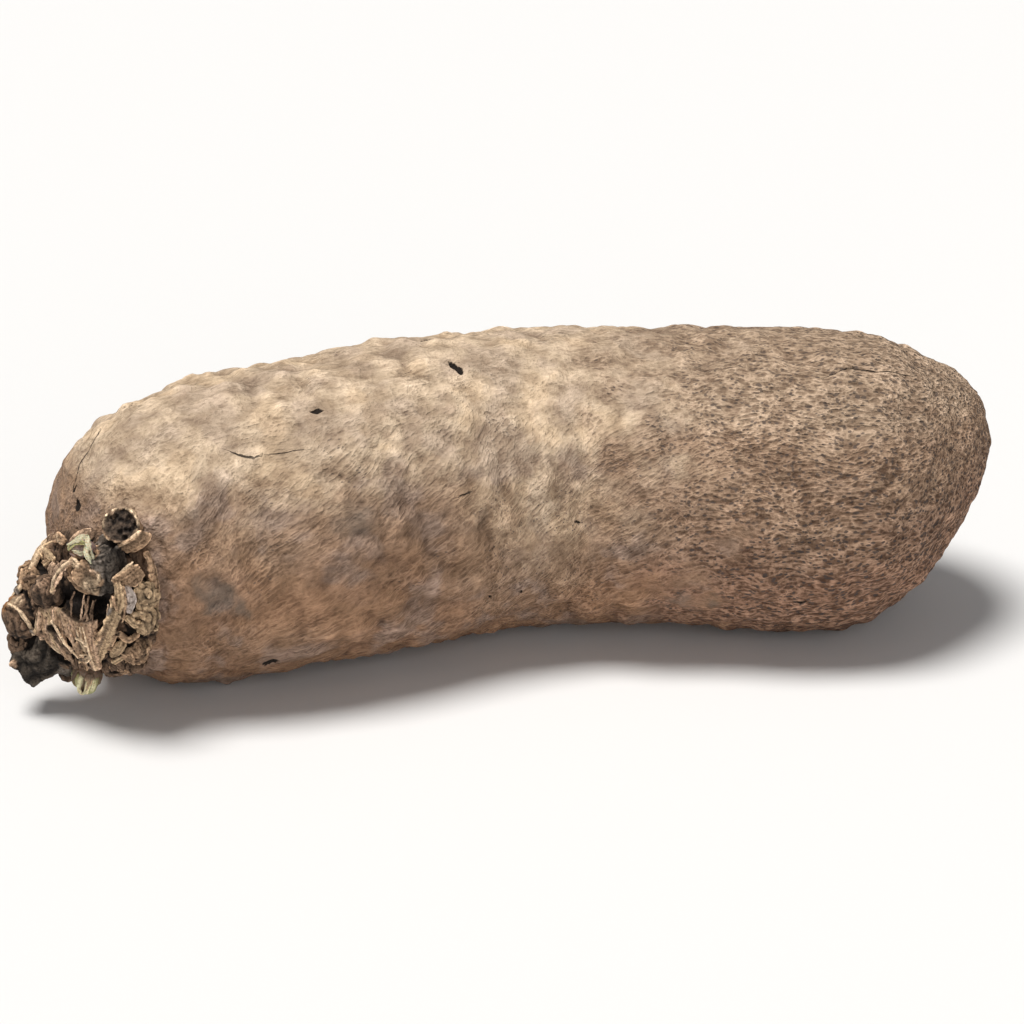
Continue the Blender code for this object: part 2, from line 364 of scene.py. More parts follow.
@dataclass(frozen=True)
class Section:
    """One upright section of the tuber's loft."""

    along: float
    centre: Vector
    across: Vector
    half_width: float
    half_height: float
    share: float

    def spoke(self, turn: float) -> Vector:
        """The way from its middle to its full rim at a turn."""
        way = self.across * (self.half_width * math.cos(turn))
        return way + Vector((0.0, 0.0, self.half_height * math.sin(turn)))


@dataclass(frozen=True)
class Mark:
    """A pit, a scar or a stain on the skin, an oval in place, millimetres and degrees."""

    along: float
    turn: float
    length: float
    width: float
    lean: float
    strength: float


@dataclass(frozen=True)
class Crack:
    """A thin split in the skin, through places given as a share of the length and a turn in degrees."""

    places: tuple[tuple[float, float], ...]
    width: float


@dataclass
class Tuber:
    """The swollen root: one fine skin over the loft that its solid follows."""

    length: float = 0.3125
    thickness: float = 0.102
    stations: tuple[tuple[float, ...], ...] = (
        # along, bow, centre height, half thickness, half width, as shares of the length and the thickness
        (0.00, -0.14, 0.450, 0.410, 0.440),
        (0.06, -0.08, 0.462, 0.448, 0.460),
        (0.13, -0.02, 0.473, 0.479, 0.485),
        (0.22, 0.03, 0.487, 0.493, 0.503),
        (0.33, 0.12, 0.496, 0.502, 0.510),
        (0.43, 0.20, 0.494, 0.500, 0.508),
        (0.53, 0.22, 0.488, 0.491, 0.508),
        (0.64, 0.17, 0.489, 0.491, 0.520),
        (0.76, 0.10, 0.490, 0.495, 0.530),
        (0.86, 0.04, 0.495, 0.495, 0.520),
        (0.94, 0.01, 0.545, 0.470, 0.485),
        (1.00, -0.02, 0.630, 0.440, 0.460),
    )
    head_cap: float = 0.14
    head_blunt: float = 2.6
    tip_cap: float = 0.19
    tip_blunt: float = 2.0
    rings: int = 322
    sides: int = 300
    near: float = 0.002  # a small step along and round it, from which its slopes are taken
    twist: float = 11.0
    warp_seed: int = 5  # which warp its grain has, so that each run gives the same one
    # the relief of the skin: heights and depths in millimetres, pitches in metres where they are one number
    # and in millimetres where there is one for each axis
    lump_height: float = 2.9
    lump_pitch: float = 0.0100
    fine_lump_height: float = 1.2
    fine_lump_pitch: float = 0.0050
    wrinkle_height: float = 0.45
    wrinkle_pitch: Triple = (9.0, 3.0, 3.0)
    row_height: float = 0.55
    row_pitch: Triple = (6.0, 2.4, 2.4)
    swell_height: float = 0.80
    swell_pitch: float = 0.0075
    pit_depth: float = 0.9
    split_depth: float = 0.35
    gully_depth: float = 0.8
    # how far a mark reaches through the skin, and how far from a split the skin is drawn in, in millimetres
    mark_reach: float = 10.0
    split_reach: tuple[float, float] = (1.2, 3.0)
    pits: tuple[Mark, ...] = (
        Mark(0.4130, 106.2, 5.2, 1.5, -83.0, 1.6),
        Mark(0.2507, 115.3, 2.6, 1.3, 8.0, 1.3),
        Mark(0.0166, 90.7, 1.7, 1.5, 60.0, 1.2),
        Mark(0.0124, 102.7, 2.5, 1.8, 70.0, 1.4),
        Mark(0.1880, 222.0, 3.0, 2.0, 30.0, 1.2),
        Mark(0.4068, 77.3, 3.6, 0.9, 30.0, 0.7),
        Mark(0.3479, 180.7, 0.8, 0.8, 0.0, 0.7),
        Mark(0.4595, 203.3, 1.0, 0.9, 0.0, 0.7),
        Mark(0.4068, 202.7, 0.9, 0.7, 0.0, 0.6),
        Mark(0.5506, 172.7, 1.6, 0.6, -20.0, 0.6),
        Mark(0.8000, 206.3, 3.4, 0.8, 5.0, 0.8),
    )
    bumps: tuple[Mark, ...] = (
        Mark(0.3640, 70.0, 6.0, 5.0, 0.0, 1.2),
        Mark(0.4280, 70.0, 7.0, 5.0, 0.0, 1.3),
        Mark(0.3311, 113.3, 3.6, 2.4, 20.0, 0.6),
        Mark(0.2982, 157.3, 1.4, 1.4, 0.0, 0.5),
    )
    greys: tuple[Mark, ...] = (
        Mark(0.1220, 180.0, 13.0, 10.0, -50.0, 0.9),
        Mark(0.1180, 168.0, 6.0, 8.0, -20.0, 0.5),
        Mark(0.2560, 160.0, 12.0, 7.0, 20.0, 0.8),
        Mark(0.6617, 137.3, 10.0, 9.0, 0.0, 0.7),
        Mark(0.6760, 210.0, 16.0, 8.0, 10.0, 0.8),
    )
    cracks: tuple[Crack, ...] = (
        Crack(((0.0153, 88.0), (0.0220, 85.5), (0.0294, 82.7), (0.0440, 80.0), (0.0580, 78.7)), 0.35),
        Crack(((0.1592, 124.7), (0.1680, 127.5), (0.1782, 129.3), (0.1850, 129.6), (0.1939, 129.3)), 0.42),
        Crack(((0.1939, 129.3), (0.2100, 129.6), (0.2270, 130.7)), 0.18),
        Crack(((0.3625, 158.7), (0.3730, 158.2), (0.3820, 156.7)), 0.30),
        Crack(((0.8160, 114.0), (0.8290, 111.5), (0.8426, 108.0), (0.8727, 109.3), (0.9147, 107.3)), 0.25),
        Crack(((0.3990, 79.5), (0.4110, 76.5), (0.4260, 75.5), (0.4343, 77.3)), 0.35),
    )
    # The washes are partly the skin's own blotches and partly painted shade and light.
    washes: tuple[tuple[float, ...], ...] = (
        # broad patches: where they start and end along it and down its side, and how much darker the skin is there
        (0.10, 0.48, -0.80, -0.42, 0.22),
        (0.34, 0.60, -0.34, 0.25, -0.35),
        (0.16, 0.26, -0.15, 0.50, -0.35),
        (0.26, 0.33, -0.40, 0.60, 0.20),
        (0.52, 0.66, 0.15, 0.60, -0.30),
    )
    wash_edges: tuple[float, float] = (0.03, 0.10)  # how soft their ends and their sides are

    def row(self, along: float) -> list[float]:
        """Bow, centre height, half thickness and half width at a share of the length, on a smooth cubic.

        Args:
            along: the share of the length.

        Returns:
            The four shares.
        """
        rows = self.stations
        last = len(rows) - 2
        gap = next((i for i in range(last) if along < rows[i + 1][0]), last)

        def step(i: int) -> list[float]:
            """The slopes between two stations."""
            span = rows[i + 1][0] - rows[i][0]
            return [(after - before) / span for before, after in zip(rows[i], rows[i + 1])]

        def slope(i: int) -> list[float]:
            """The slopes at a station.

            Args:
                i: the station.

            Returns:
                The slopes.
            """
            if i in (0, len(rows) - 1):
                return step(min(i, last))
            before, after = rows[i][0] - rows[i - 1][0], rows[i + 1][0] - rows[i][0]
            return [(a * after + b * before) / (before + after) for a, b in zip(step(i - 1), step(i))]

        span = rows[gap + 1][0] - rows[gap][0]
        t = (along - rows[gap][0]) / span
        return [
            (2 * t**3 - 3 * t**2 + 1) * a + (3 * t**2 - 2 * t**3) * b
            + span * ((t**3 - 2 * t**2 + t) * slope_a + (t**3 - t**2) * slope_b)
            for a, b, slope_a, slope_b in zip(rows[gap], rows[gap + 1], slope(gap), slope(gap + 1))
        ][1:]

    def centre(self, along: float) -> Vector:
        """The middle of the section at a share of the length."""
        bow, height = self.row(along)[:2]
        return Vector(((along - 0.5) * self.length, bow * self.thickness, height * self.thickness))

    def end_share(self, along: float) -> float:
        """How much of the full section the rounded ends leave at a share of the length."""
        shares = ((along / self.head_cap, self.head_blunt), ((1 - along) / self.tip_cap, self.tip_blunt))
        return math.prod((1 - (1 - min(share, 1.0)) ** blunt) ** (1 / blunt) for share, blunt in shares)

    def section(self, along: float) -> Section:
        """The section at a share of the length.

        Args:
            along: the share of the length.

        Returns:
            Its middle, its axes and its size.
        """
        run = self.centre(min(along + self.near, 1.0)) - self.centre(max(along - self.near, 0.0))
        across = Vector((-run.y, run.x, 0.0)).normalized()
        half_height, half_width = (size * self.thickness for size in self.row(along)[2:])
        return Section(along, self.centre(along), across, half_width, half_height, self.end_share(along))

    def even_places(self) -> list[float]:
        """Shares of the length that lie evenly along the skin, ends left out.

        Returns:
            The shares.
        """
        shares = (1 - np.cos(np.linspace(0, np.pi, 2001))) / 2
        out = np.array([self.end_share(share) for share in shares]) * 0.5 * self.thickness
        steps = np.hypot(np.diff(shares) * self.length, np.diff(out))
        run = np.concatenate([[0.0], np.cumsum(steps)])
        return np.interp(np.linspace(0, run[-1], self.rings + 2)[1:-1], run, shares).tolist()

    def loft(self) -> tuple[list[Section], np.ndarray, np.ndarray]:
        """The smooth loft with the low relief that its solid has.

        Returns:
            The sections, the turns, and the points as rings of x, y and z.
        """
        sections = [self.section(along) for along in self.even_places()]
        turns = np.linspace(0, 2 * math.pi, self.sides, endpoint=False)
        rings = []
        for section in sections:
            ring = []
            for turn in turns:
                spoke = section.spoke(turn)
                point = section.centre + spoke * section.share
                relief = noise.noise(point / 0.030) * 0.0016 + noise.noise(point / 0.013) * 0.0006
                point += spoke.normalized() * relief * section.share
                ring.append(tuple(point))
            rings.append(ring)
        return sections, turns, np.array(rings)

    def straightened(self, sections: list[Section], turns: np.ndarray, twist: float) -> np.ndarray:
        """Places on the tuber as if it were straight, so that grain can run along it.

        Args:
            sections: the loft's sections.
            turns: the turns round each.
            twist: how far the grain winds round, in radians a metre.

        Returns:
            Rows of millimetres along, and two across.
        """
        rows = []
        for section in sections:
            wound = turns + twist * section.along * self.length
            reach = np.stack([section.half_width * np.cos(wound), section.half_height * np.sin(wound)], axis=1)
            along = np.full((len(turns), 1), section.along * self.length)
            rows.append(np.concatenate([along, reach * section.share], axis=1))
        return np.concatenate(rows) / MM

    def offset(self, points: np.ndarray) -> np.ndarray:
        """How far the loft's own frame lies from the part's, from the solid's box.

        Args:
            points: the loft's rings of points.

        Returns:
            The shift in metres.
        """
        low, high = (np.array(corner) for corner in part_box("tuber"))
        moved = (low + high) / 2 - (points.min(axis=(0, 1)) + points.max(axis=(0, 1))) / 2
        moved[2] = 0.0
        return moved

    def mark_place(self, along: float, turn: float) -> tuple[np.ndarray, np.ndarray, np.ndarray]:
        """Where a mark lies on the smooth loft.

        Args:
            along: its share of the length.
            turn: its turn in degrees.

        Returns:
            The place, and the ways along and round the skin, in the loft's own frame.
        """
        def skin(share: float, angle: float) -> Vector:
            """A point of the loft."""
            section = self.section(share)
            return section.centre + section.spoke(angle) * section.share

        angle, near = math.radians(turn), self.near
        place = skin(along, angle)
        way = (skin(along + near, angle) - skin(along - near, angle)).normalized()
        around = (skin(along, angle - near) - skin(along, angle + near)).normalized()
        return np.array(place), np.array(way), np.array(around)

    def oval(self, mark: Mark, points: np.ndarray) -> np.ndarray:
        """How deep in a mark each point lies: 1 in its middle, 0 on its edge, and under 0 outside.

        Args:
            mark: the oval.
            points: rows in the loft's own frame.

        Returns:
            One number for each point, no lower than -1.
        """
        place, way, around = self.mark_place(mark.along, mark.turn)
        lean = math.radians(mark.lean)
        offset = (points - place) / MM
        along, aside = offset @ way, offset @ around
        first = (along * math.cos(lean) + aside * math.sin(lean)) / mark.length
        second = (aside * math.cos(lean) - along * math.sin(lean)) / mark.width
        third = (np.linalg.norm(offset, axis=1) ** 2 - along**2 - aside**2).clip(min=0.0)
        return np.maximum(1.0 - np.sqrt(first**2 + second**2 + third / self.mark_reach**2), -1.0)

    def splits(self, points: np.ndarray) -> tuple[np.ndarray, np.ndarray]:
        """How far each point is from the middle of the nearest crack.

        Args:
            points: rows in the loft's own frame.

        Returns:
            The distance to one side as a share of the crack's width, and how near it is, from 0 to 1.
        """
        side = np.full(len(points), 9.0)
        near = np.zeros(len(points))
        close, far = self.split_reach
        for crack in self.cracks:
            stops = [self.mark_place(*place) for place in crack.places]
            for i, (start, end) in enumerate(zip(stops, stops[1:])):
                run = end[0] - start[0]
                outward = np.cross(start[1], start[2])
                offset = points - start[0]
                share = np.clip(offset @ run / (run @ run), 0.0, 1.0)
                away = np.linalg.norm(offset - share[:, None] * run, axis=1) / MM
                signed = offset @ np.cross(outward, run / np.linalg.norm(run)) / MM
                taper = (i + share) / (len(stops) - 1)
                wide = crack.width * np.sqrt(np.clip(4.0 * taper * (1.0 - taper), 0.02, 1.0))
                better = (away < far) & (np.abs(signed) + np.abs(away - np.abs(signed)) * 4.0 < np.abs(side))
                side = np.where(better, signed / wide, side)
                near = np.where(better, 1.0 - smooth_step(close, far, away), near)
        return side, near

    def build(self) -> tuple[bpy.types.Object, np.ndarray]:
        """Make the skin.

        Returns:
            The object, and the shift from the loft's own frame to the part's.
        """
        sections, turns, rings = self.loft()
        shift = self.offset(rings)
        points = rings.reshape(-1, 3)
        lay = self.straightened(sections, turns, 0.0)
        flow = self.straightened(sections, turns, self.twist)
        along = np.repeat([section.along for section in sections], len(turns))
        turn = np.tile(np.degrees(turns), len(sections))

        run = np.gradient(rings, axis=0)
        around = np.roll(rings, -1, axis=1) - np.roll(rings, 1, axis=1)
        normals = np.cross(around, run).reshape(-1, 3)
        normals /= np.linalg.norm(normals, axis=1)[:, None]

        noise.seed_set(self.warp_seed)
        lay_warp = sampled(lambda p: tuple(noise.noise_vector(p / 13.0)), lay) * 1.8
        mottle = swells(lay, 16.0)
        slant = band(turn, 105.0, 150.0, 250.0, 300.0) * smooth_step(0.74, 0.60, along + 0.05 * mottle)
        border = 0.625 + band(turn, 100.0, 215.0, 260.0, 330.0, 0.075)
        rough_tip = smooth_step(-0.13, 0.15, along - border + 0.13 * clouds(lay + 60.0, 13.0, 0.8, 2.1, 3))
        lilac = clouds(lay + 20.0, 15.0, 0.9, 2.2, 3)
        stain = clouds(lay - 30.0, 8.0, 0.8, 2.2, 3)
        slope = -normals[:, 2]
        rough_tip *= 1.0 - 0.35 * smooth_step(-0.90, -0.99, slope)
        # Painted shade and light: each wash darkens the skin, and lightens it where its amount is under 0.
        edge, fade = self.wash_edges
        for start, end, upper, lower, amount in self.washes:
            wash = band(along, start - edge, start + edge, end - edge, end + edge)
            wash *= band(slope, upper - fade, upper + fade, lower - fade, lower + fade)
            lilac += amount * wash
            stain += 0.7 * amount * wash
        # Painted shade and light in bands, set by how far along the tuber the skin lies and how far it faces down.
        darker = 0.50 * smooth_step(0.48, 0.25, along) * smooth_step(-0.82, -0.35, slope)
        darker -= band(along, 0.32, 0.42, 0.50, 0.60, 0.22) * smooth_step(-0.5, -0.1, slope)
        darker -= 0.55 * smooth_step(0.32, 0.20, along) * smooth_step(0.10, 0.50, slope)
        darker += 0.16 * smooth_step(0.54, 0.62, along) * smooth_step(-0.8, -0.4, slope)
        # Painted shade: the skin is darker the more it faces down, partly as its earthier underside.
        low = np.clip((slope + 0.12 * mottle + 0.07 * stain + darker + 0.85) / 1.5, 0.0, 1.0)
        # Painted shade in the gullies near the crown: they are cut into the relief, and the colour is darkened in them
        # too.
        halo = smooth_step(0.105, 0.055, along + 0.02 * mottle) * smooth_step(120.0, 150.0, turn)
        halo *= smooth_step(260.0, 235.0, turn)
        gully = smooth_step(0.16, 0.0, np.abs(swells(points + 0.3, 0.0060))) * halo
        stain = stain + 0.6 * gully
        pores = swells(lay + 80.0, 11.0) + band(along, 0.34, 0.46, 0.58, 0.68, 0.6) * smooth_step(-0.5, -0.2, slope)
        pits = np.max([self.oval(mark, points) * mark.strength / 1.5 for mark in self.pits], axis=0)
        greys = np.max([(self.oval(mark, points) + 1.0) / 2 * mark.strength for mark in self.greys], axis=0)
        crack, crack_near = self.splits(points)

        lump = self.lumps(points, lay, along, rough_tip)
        relief = lump + self.wrinkles(points, lay, flow, slant, rough_tip)
        for mark in self.pits:
            relief -= self.pit_depth * mark.strength * smooth_step(-0.15, 0.5, self.oval(mark, points))
        for mark in self.bumps:
            relief += mark.strength * smooth_step(-0.05, 0.9, self.oval(mark, points))
        relief -= self.split_depth * crack_near * smooth_step(2.5, 0.0, np.abs(crack)) + self.gully_depth * gully
        moved = points + normals * (relief * MM)[:, None]
        moved[:, 2] = np.maximum(moved[:, 2], 0.0)

        ends = [np.array(self.centre(0.0)), np.array(self.centre(1.0))]
        every = np.concatenate([moved, ends]) + shift
        piece = Piece("tuber_skin", every, self.faces(len(sections)))

        def with_ends(rows: np.ndarray) -> np.ndarray:
            """Values for the rings, and for the two end points after them."""
            return np.concatenate([rows, rows[:1], rows[-1:]])

        crease = np.einsum("ij,ij->i", moved - relaxed(moved, self.edges(len(sections)), 6), normals) / MM
        numbers = {
            "slant": slant, "rough_tip": rough_tip, "pit": pits, "grey": greys, "crack": crack,
            "crack_near": crack_near, "crease": crease, "low": low, "lilac": lilac, "stain": stain,
            "lump": lump, "pores": pores,
        }
        piece.numbers = {name: with_ends(rows) for name, rows in numbers.items()}
        piece.vectors = {"lay": with_ends(lay + lay_warp), "flow": with_ends(flow + lay_warp)}
        return piece.made(Slot.SKIN, "tuber"), shift

    def lumps(self, points: np.ndarray, lay: np.ndarray, along: np.ndarray, rough_tip: np.ndarray) -> np.ndarray:
        """The soft lumps that swell the skin, mostly nearer the crown.

        Args:
            points: places on the loft.
            lay: the same places straightened.
            along: shares of the length.
            rough_tip: where the skin is rough.

        Returns:
            Millimetres out from the loft.
        """
        wart = sampled(lambda p: noise.voronoi(p)[0][0], points / self.lump_pitch + np.array([0.3, 0.1, 0.7]))
        fine_wart = sampled(lambda p: noise.voronoi(p)[0][0], points / self.fine_lump_pitch)
        warty = (0.35 + 0.65 * smooth_step(-0.45, 0.25, swells(lay + 40.0, 24.0))) * (1.0 - 0.65 * rough_tip)
        lumps = self.lump_height * (0.5 - wart) + self.fine_lump_height * (0.5 - fine_wart)
        return warty * smooth_step(0.0, 0.08, along) * lumps

    def wrinkles(
        self, points: np.ndarray, lay: np.ndarray, flow: np.ndarray, slant: np.ndarray, rough_tip: np.ndarray
    ) -> np.ndarray:
        """The wrinkles along the grain, and the rough rows of the tip.

        Args:
            points: places on the loft.
            lay: the same places straightened.
            flow: the same places straightened and wound round.
            slant: where the grain winds round.
            rough_tip: where the skin is rough.

        Returns:
            Millimetres out from the lumps.
        """
        straight, wound = (swells(places / np.array(self.wrinkle_pitch)) for places in (lay, flow))
        wrinkle = self.wrinkle_height * (straight * (1.0 - slant) + wound * slant) * (1.0 - 0.3 * rough_tip)
        rows = self.row_height * rough_tip * swells(lay / np.array(self.row_pitch) + 9.0)
        return wrinkle + rows + self.swell_height * clouds(points, self.swell_pitch, 0.9, 2.0, 2)

    def faces(self, rings: int) -> list[tuple[int, ...]]:
        """The quads between the rings, and the triangles that close both ends.

        Args:
            rings: how many rings there are.

        Returns:
            The faces, all facing out.
        """
        sides = self.sides
        after = [(i + 1) % sides for i in range(sides)]
        made = [
            (ring * sides + i, ring * sides + after[i], (ring + 1) * sides + after[i], (ring + 1) * sides + i)
            for ring in range(rings - 1)
            for i in range(sides)
        ]
        first, last, base = rings * sides, rings * sides + 1, (rings - 1) * sides
        made += [(first, after[i], i) for i in range(sides)]
        made += [(last, base + i, base + after[i]) for i in range(sides)]
        return made

    def edges(self, rings: int) -> np.ndarray:
        """The edges along and round the rings, as rows of two point numbers.

        Args:
            rings: how many rings there are.

        Returns:
            The rows.
        """
        numbers = np.arange(rings * self.sides).reshape(rings, self.sides)
        around = np.stack([numbers, np.roll(numbers, -1, axis=1)], axis=-1).reshape(-1, 2)
        along = np.stack([numbers[:-1], numbers[1:]], axis=-1).reshape(-1, 2)
        return np.concatenate([around, along])


@dataclass(frozen=True)
class SkinFinish:
    """The tuber's dry, papery skin: tan and wrinkled, and rough with dark flecks towards the tip."""

    pale: Triple = (0.560, 0.428, 0.298)
    tan: Triple = (0.285, 0.186, 0.120)
    lilac: Triple = (0.290, 0.216, 0.176)
    brown: Triple = (0.185, 0.108, 0.060)
    umber: Triple = (0.27, 0.145, 0.080)
    tip_top: Triple = (0.385, 0.274, 0.186)
    tip: Triple = (0.295, 0.192, 0.124)
    tip_low: Triple = (0.27, 0.155, 0.098)
    grey: Triple = (0.17, 0.135, 0.108)
    faded_and_lit: Triple = (1.28, 1.22, 1.10)
    fleck: Triple = (0.066, 0.051, 0.046)
    dirt_and_shade: Triple = (0.014, 0.009, 0.006)
    # Tones that darken and lighten the colour: the skin's random tone, and painted shade and painted highlight on its
    # relief.
    highlight_and_light_tone: Triple = (1.48, 1.50, 1.55)
    shade_and_dark_tone: Triple = (0.46, 0.41, 0.39)

    def made(self) -> bpy.types.Material:
        """Make the material.

        Returns:
            The material.
        """
        b = Bench("papery_skin")
        lay, flow = b.vector("lay"), b.vector("flow")
        slant, rough_tip, crease = b.number("slant"), b.number("rough_tip"), b.number("crease")
        low, stain, lump = b.number("low"), b.number("stain"), b.number("lump")
        lilac, pores = b.number("lilac"), b.number("pores")

        def grain(straight: Wire, wound: Wire, pitch: Triple, detail: float, rough: float) -> Wire:
            """Noise drawn out along the tuber's grain."""
            return b.between(slant, b.noise(straight, pitch, detail, rough), b.noise(wound, pitch, detail, rough))

        crumple = grain(lay, flow, (3.4, 2.1, 2.1), 2.6, 0.62)
        fine = b.noise(lay, 1.25, 1.2, 0.6)
        row = abs(grain(lay + 30.0, flow + 30.0, (4.9, 1.8, 1.8), 1.5, 0.5) - 0.5)
        dots = b.cells(lay, (2.0, 1.25, 1.25))
        spotty = b.rise(rough_tip, 0.15, 0.8)
        streaky = spotty + (1.0 - spotty) * (b.rise(pores, -0.30, 0.50) * 0.38 + 0.24)
        ridge = b.rise(row, 0.060, 0.012) * streaky
        valley = b.rise(row + (fine - 0.5) * 0.25, 0.05, 0.15) * streaky
        fleck = b.rise(dots - row + (fine - 0.5) * 0.6, 0.32, 0.14) * spotty
        speck = b.rise(dots + (fine - 0.5) * 0.3, 0.30, 0.12) * b.rise(pores, 0.10, 0.55)

        # Painted shade: the colour goes from pale to tan and umber, and the tip's from light to dark, as the skin faces
        # further down; partly its earthier underside.
        color = b.mix(b.rise(low, 0.05, 0.60), self.pale, self.tan)
        color = b.mix(b.rise(low, 0.55, 1.0) * 0.65, color, self.umber)
        tip = b.mix(b.rise(low, 0.00, 0.30), self.tip_top, b.mix(b.rise(low, 0.45, 0.95), self.tip, self.tip_low))
        mid = b.rise(low, 0.12, 0.40)
        color = b.mix(b.rise(lilac, 0.0, 0.45) * (mid * 0.16 + 0.34), color, self.lilac)
        # Lighter where lilac is low: the skin's pale patches, and painted light where a wash lightens it.
        color = b.toned(color, (b.rise(lilac, -0.10, -0.45) * 0.35, self.faded_and_lit))
        color = b.mix(b.rise(stain, 0.0, 0.50) * 0.34, color, self.brown)
        color = b.toned(color, (b.rise(stain, -0.05, -0.50) * 0.40, self.highlight_and_light_tone))
        color = b.mix(b.rise(rough_tip, 0.0, 0.6) * 0.9, color, tip)
        tone_and_highlight = (mid * 0.3 + 0.7) * (rough_tip * 0.5 + 0.5)
        color = b.toned(
            color,
            (b.rise(stain, 0.05, 0.55) * rough_tip * 0.40, self.shade_and_dark_tone),
            (b.rise(lilac + stain * 0.5, -0.10, -0.60) * rough_tip * 0.45, self.highlight_and_light_tone),
            # painted shade in the valleys between the lumps and painted highlight on their tops
            (b.rise(lump, 0.0, -1.0) * 0.36, self.shade_and_dark_tone),
            (b.rise(lump, 0.1, 1.0) * 0.34, self.highlight_and_light_tone),
            (b.rise(fine, 0.53, 0.70) * tone_and_highlight * 0.50, self.shade_and_dark_tone),
            (b.rise(fine, 0.47, 0.30) * tone_and_highlight * 0.35, self.highlight_and_light_tone),
            # painted shade in the crumples' hollows and painted highlight on their crests
            (b.rise(crumple, 0.48, 0.34) * tone_and_highlight * 0.75, self.shade_and_dark_tone),
            (b.rise(crumple, 0.52, 0.66) * tone_and_highlight * 0.55, self.highlight_and_light_tone),
        )
        color = b.mix(speck * 0.70, color, self.fleck)
        # Darker in the valleys between the tip's rows and lighter on their ridges: partly the skin's own dark residue
        # and pale ridges, partly painted shade and painted highlight, stronger where the skin faces down.
        under = b.rise(low, 0.35, 0.70)
        color = b.toned(
            color, (valley * (under * 0.22 + 0.60), self.shade_and_dark_tone), (ridge * (under * 0.28 + 0.62), self.highlight_and_light_tone)
        )
        color = b.mix(fleck * (under * 0.14 + 0.74), color, self.fleck)
        color = b.mix(b.rise(b.number("grey") + stain * 0.3, 0.45, 0.85) * 0.6, color, self.grey)
        # Painted shade in the mesh's creases and painted highlight on its ridges.
        color = b.toned(
            color, (b.rise(crease, -0.03, -0.45) * 0.5, self.shade_and_dark_tone), (b.rise(crease, 0.05, 0.50) * 0.3, self.highlight_and_light_tone)
        )

        # Near-black in the splits and pits: painted shade in them, partly dirt.
        rag = (fine - 0.5) * 2.0
        split = b.rise(abs(b.number("crack") + rag), 1.2, 0.5) * b.number("crack_near")
        pit = b.rise(b.number("pit") + rag * 0.25, 0.02, 0.20)
        color = b.mix(pit, b.mix(split * 0.9, color, self.dirt_and_shade), self.dirt_and_shade)

        height = crumple * 1.3 - fine * 0.8 - row * streaky * 3.0 - split * 0.5 - pit * 0.6
        return b.finish(color, b.between(rough_tip, 0.80, 0.90), height, Specular_IOR_Level=0.25)


class Paint(Enum):
    """The colours of the crown and the buds."""

    BARK = (0.330, 0.210, 0.126)
    # Near-black, for painted shade in pits, grooves and hollows.
    PAINTED_SHADE = (0.012, 0.008, 0.006)
    CORK = (0.500, 0.362, 0.235)
    PINK = (0.395, 0.262, 0.172)
    PITH = (0.088, 0.060, 0.042)
    SLATE = (0.125, 0.101, 0.081)
    ORANGE = (0.340, 0.165, 0.070)
    LILAC = (0.460, 0.380, 0.330)
    MOSS = (0.064, 0.050, 0.038)
    OCHRE = (0.420, 0.290, 0.172)
    GREEN = (0.460, 0.440, 0.200)
    STRAW = (0.730, 0.670, 0.410)
    # Straw dimmed as painted shade, for the torn bud's scales.
    SHADED_STRAW = (0.600, 0.550, 0.370)
    ROSE = (0.360, 0.250, 0.220)
    UMBER = (0.150, 0.094, 0.060)
    BLUSH_AND_HIGHLIGHT = (0.600, 0.420, 0.350)


def ragged(place: np.ndarray, seed: int, period: int = 64) -> np.ndarray:
    """Uneven ups and downs from -1 to 1 along a line, about one to each unit, that repeat after a period."""
    heights = np.random.default_rng(seed).uniform(-1.0, 1.0, period)
    return np.interp(np.mod(place, period), np.arange(period + 1), np.append(heights, heights[0]))


def unit(way: Sequence[float]) -> np.ndarray:
    """A way with a length of one."""
    return np.array(way, dtype=float) / max(np.linalg.norm(way), 1e-9)


def ways_across(axis: np.ndarray) -> tuple[np.ndarray, np.ndarray]:
    """Two ways across an axis."""
    first = unit(np.cross(axis, (0.0, 0.0, 1.0)))
    return first, np.cross(axis, first)


def spoke(turn: float, first: np.ndarray, second: np.ndarray) -> np.ndarray:
    """A way out from an axis, at a turn from the first of two ways across it."""
    return math.cos(turn) * first + math.sin(turn) * second


def rib_places(local: np.ndarray, ribs: int) -> np.ndarray:
    """The turn of each place round the third axis, counted in ribs."""
    return (np.arctan2(local[..., 1], local[..., 0]) / math.tau + 0.5) * ribs


def box_of(places: Sequence[Triple], half: float) -> tuple[np.ndarray, np.ndarray]:
    """The corners of the box that holds some places and as much as half round them."""
    rows = np.array(places)
    return rows.min(axis=0) - half, rows.max(axis=0) + half


def picker(seed: int) -> Callable[[float, float], float]:
    """A way to draw numbers between two limits, the same in each run."""
    draw = np.random.default_rng(seed)
    return lambda low, high: float(draw.uniform(low, high))


class Form:
    """A shape that clay is added to or cut from."""

    def reach(self) -> tuple[np.ndarray, np.ndarray]:
        """The lowest and highest corners of the box that holds it."""
        raise NotImplementedError

    def shape(self, place: np.ndarray) -> tuple[np.ndarray, np.ndarray]:
        """How far out of the form each place is, and how light its grain is there.

        Args:
            place: an array with x, y and z last.

        Returns:
            Millimetres, under 0 inside it, and the grain from -1 to 1.
        """
        raise NotImplementedError


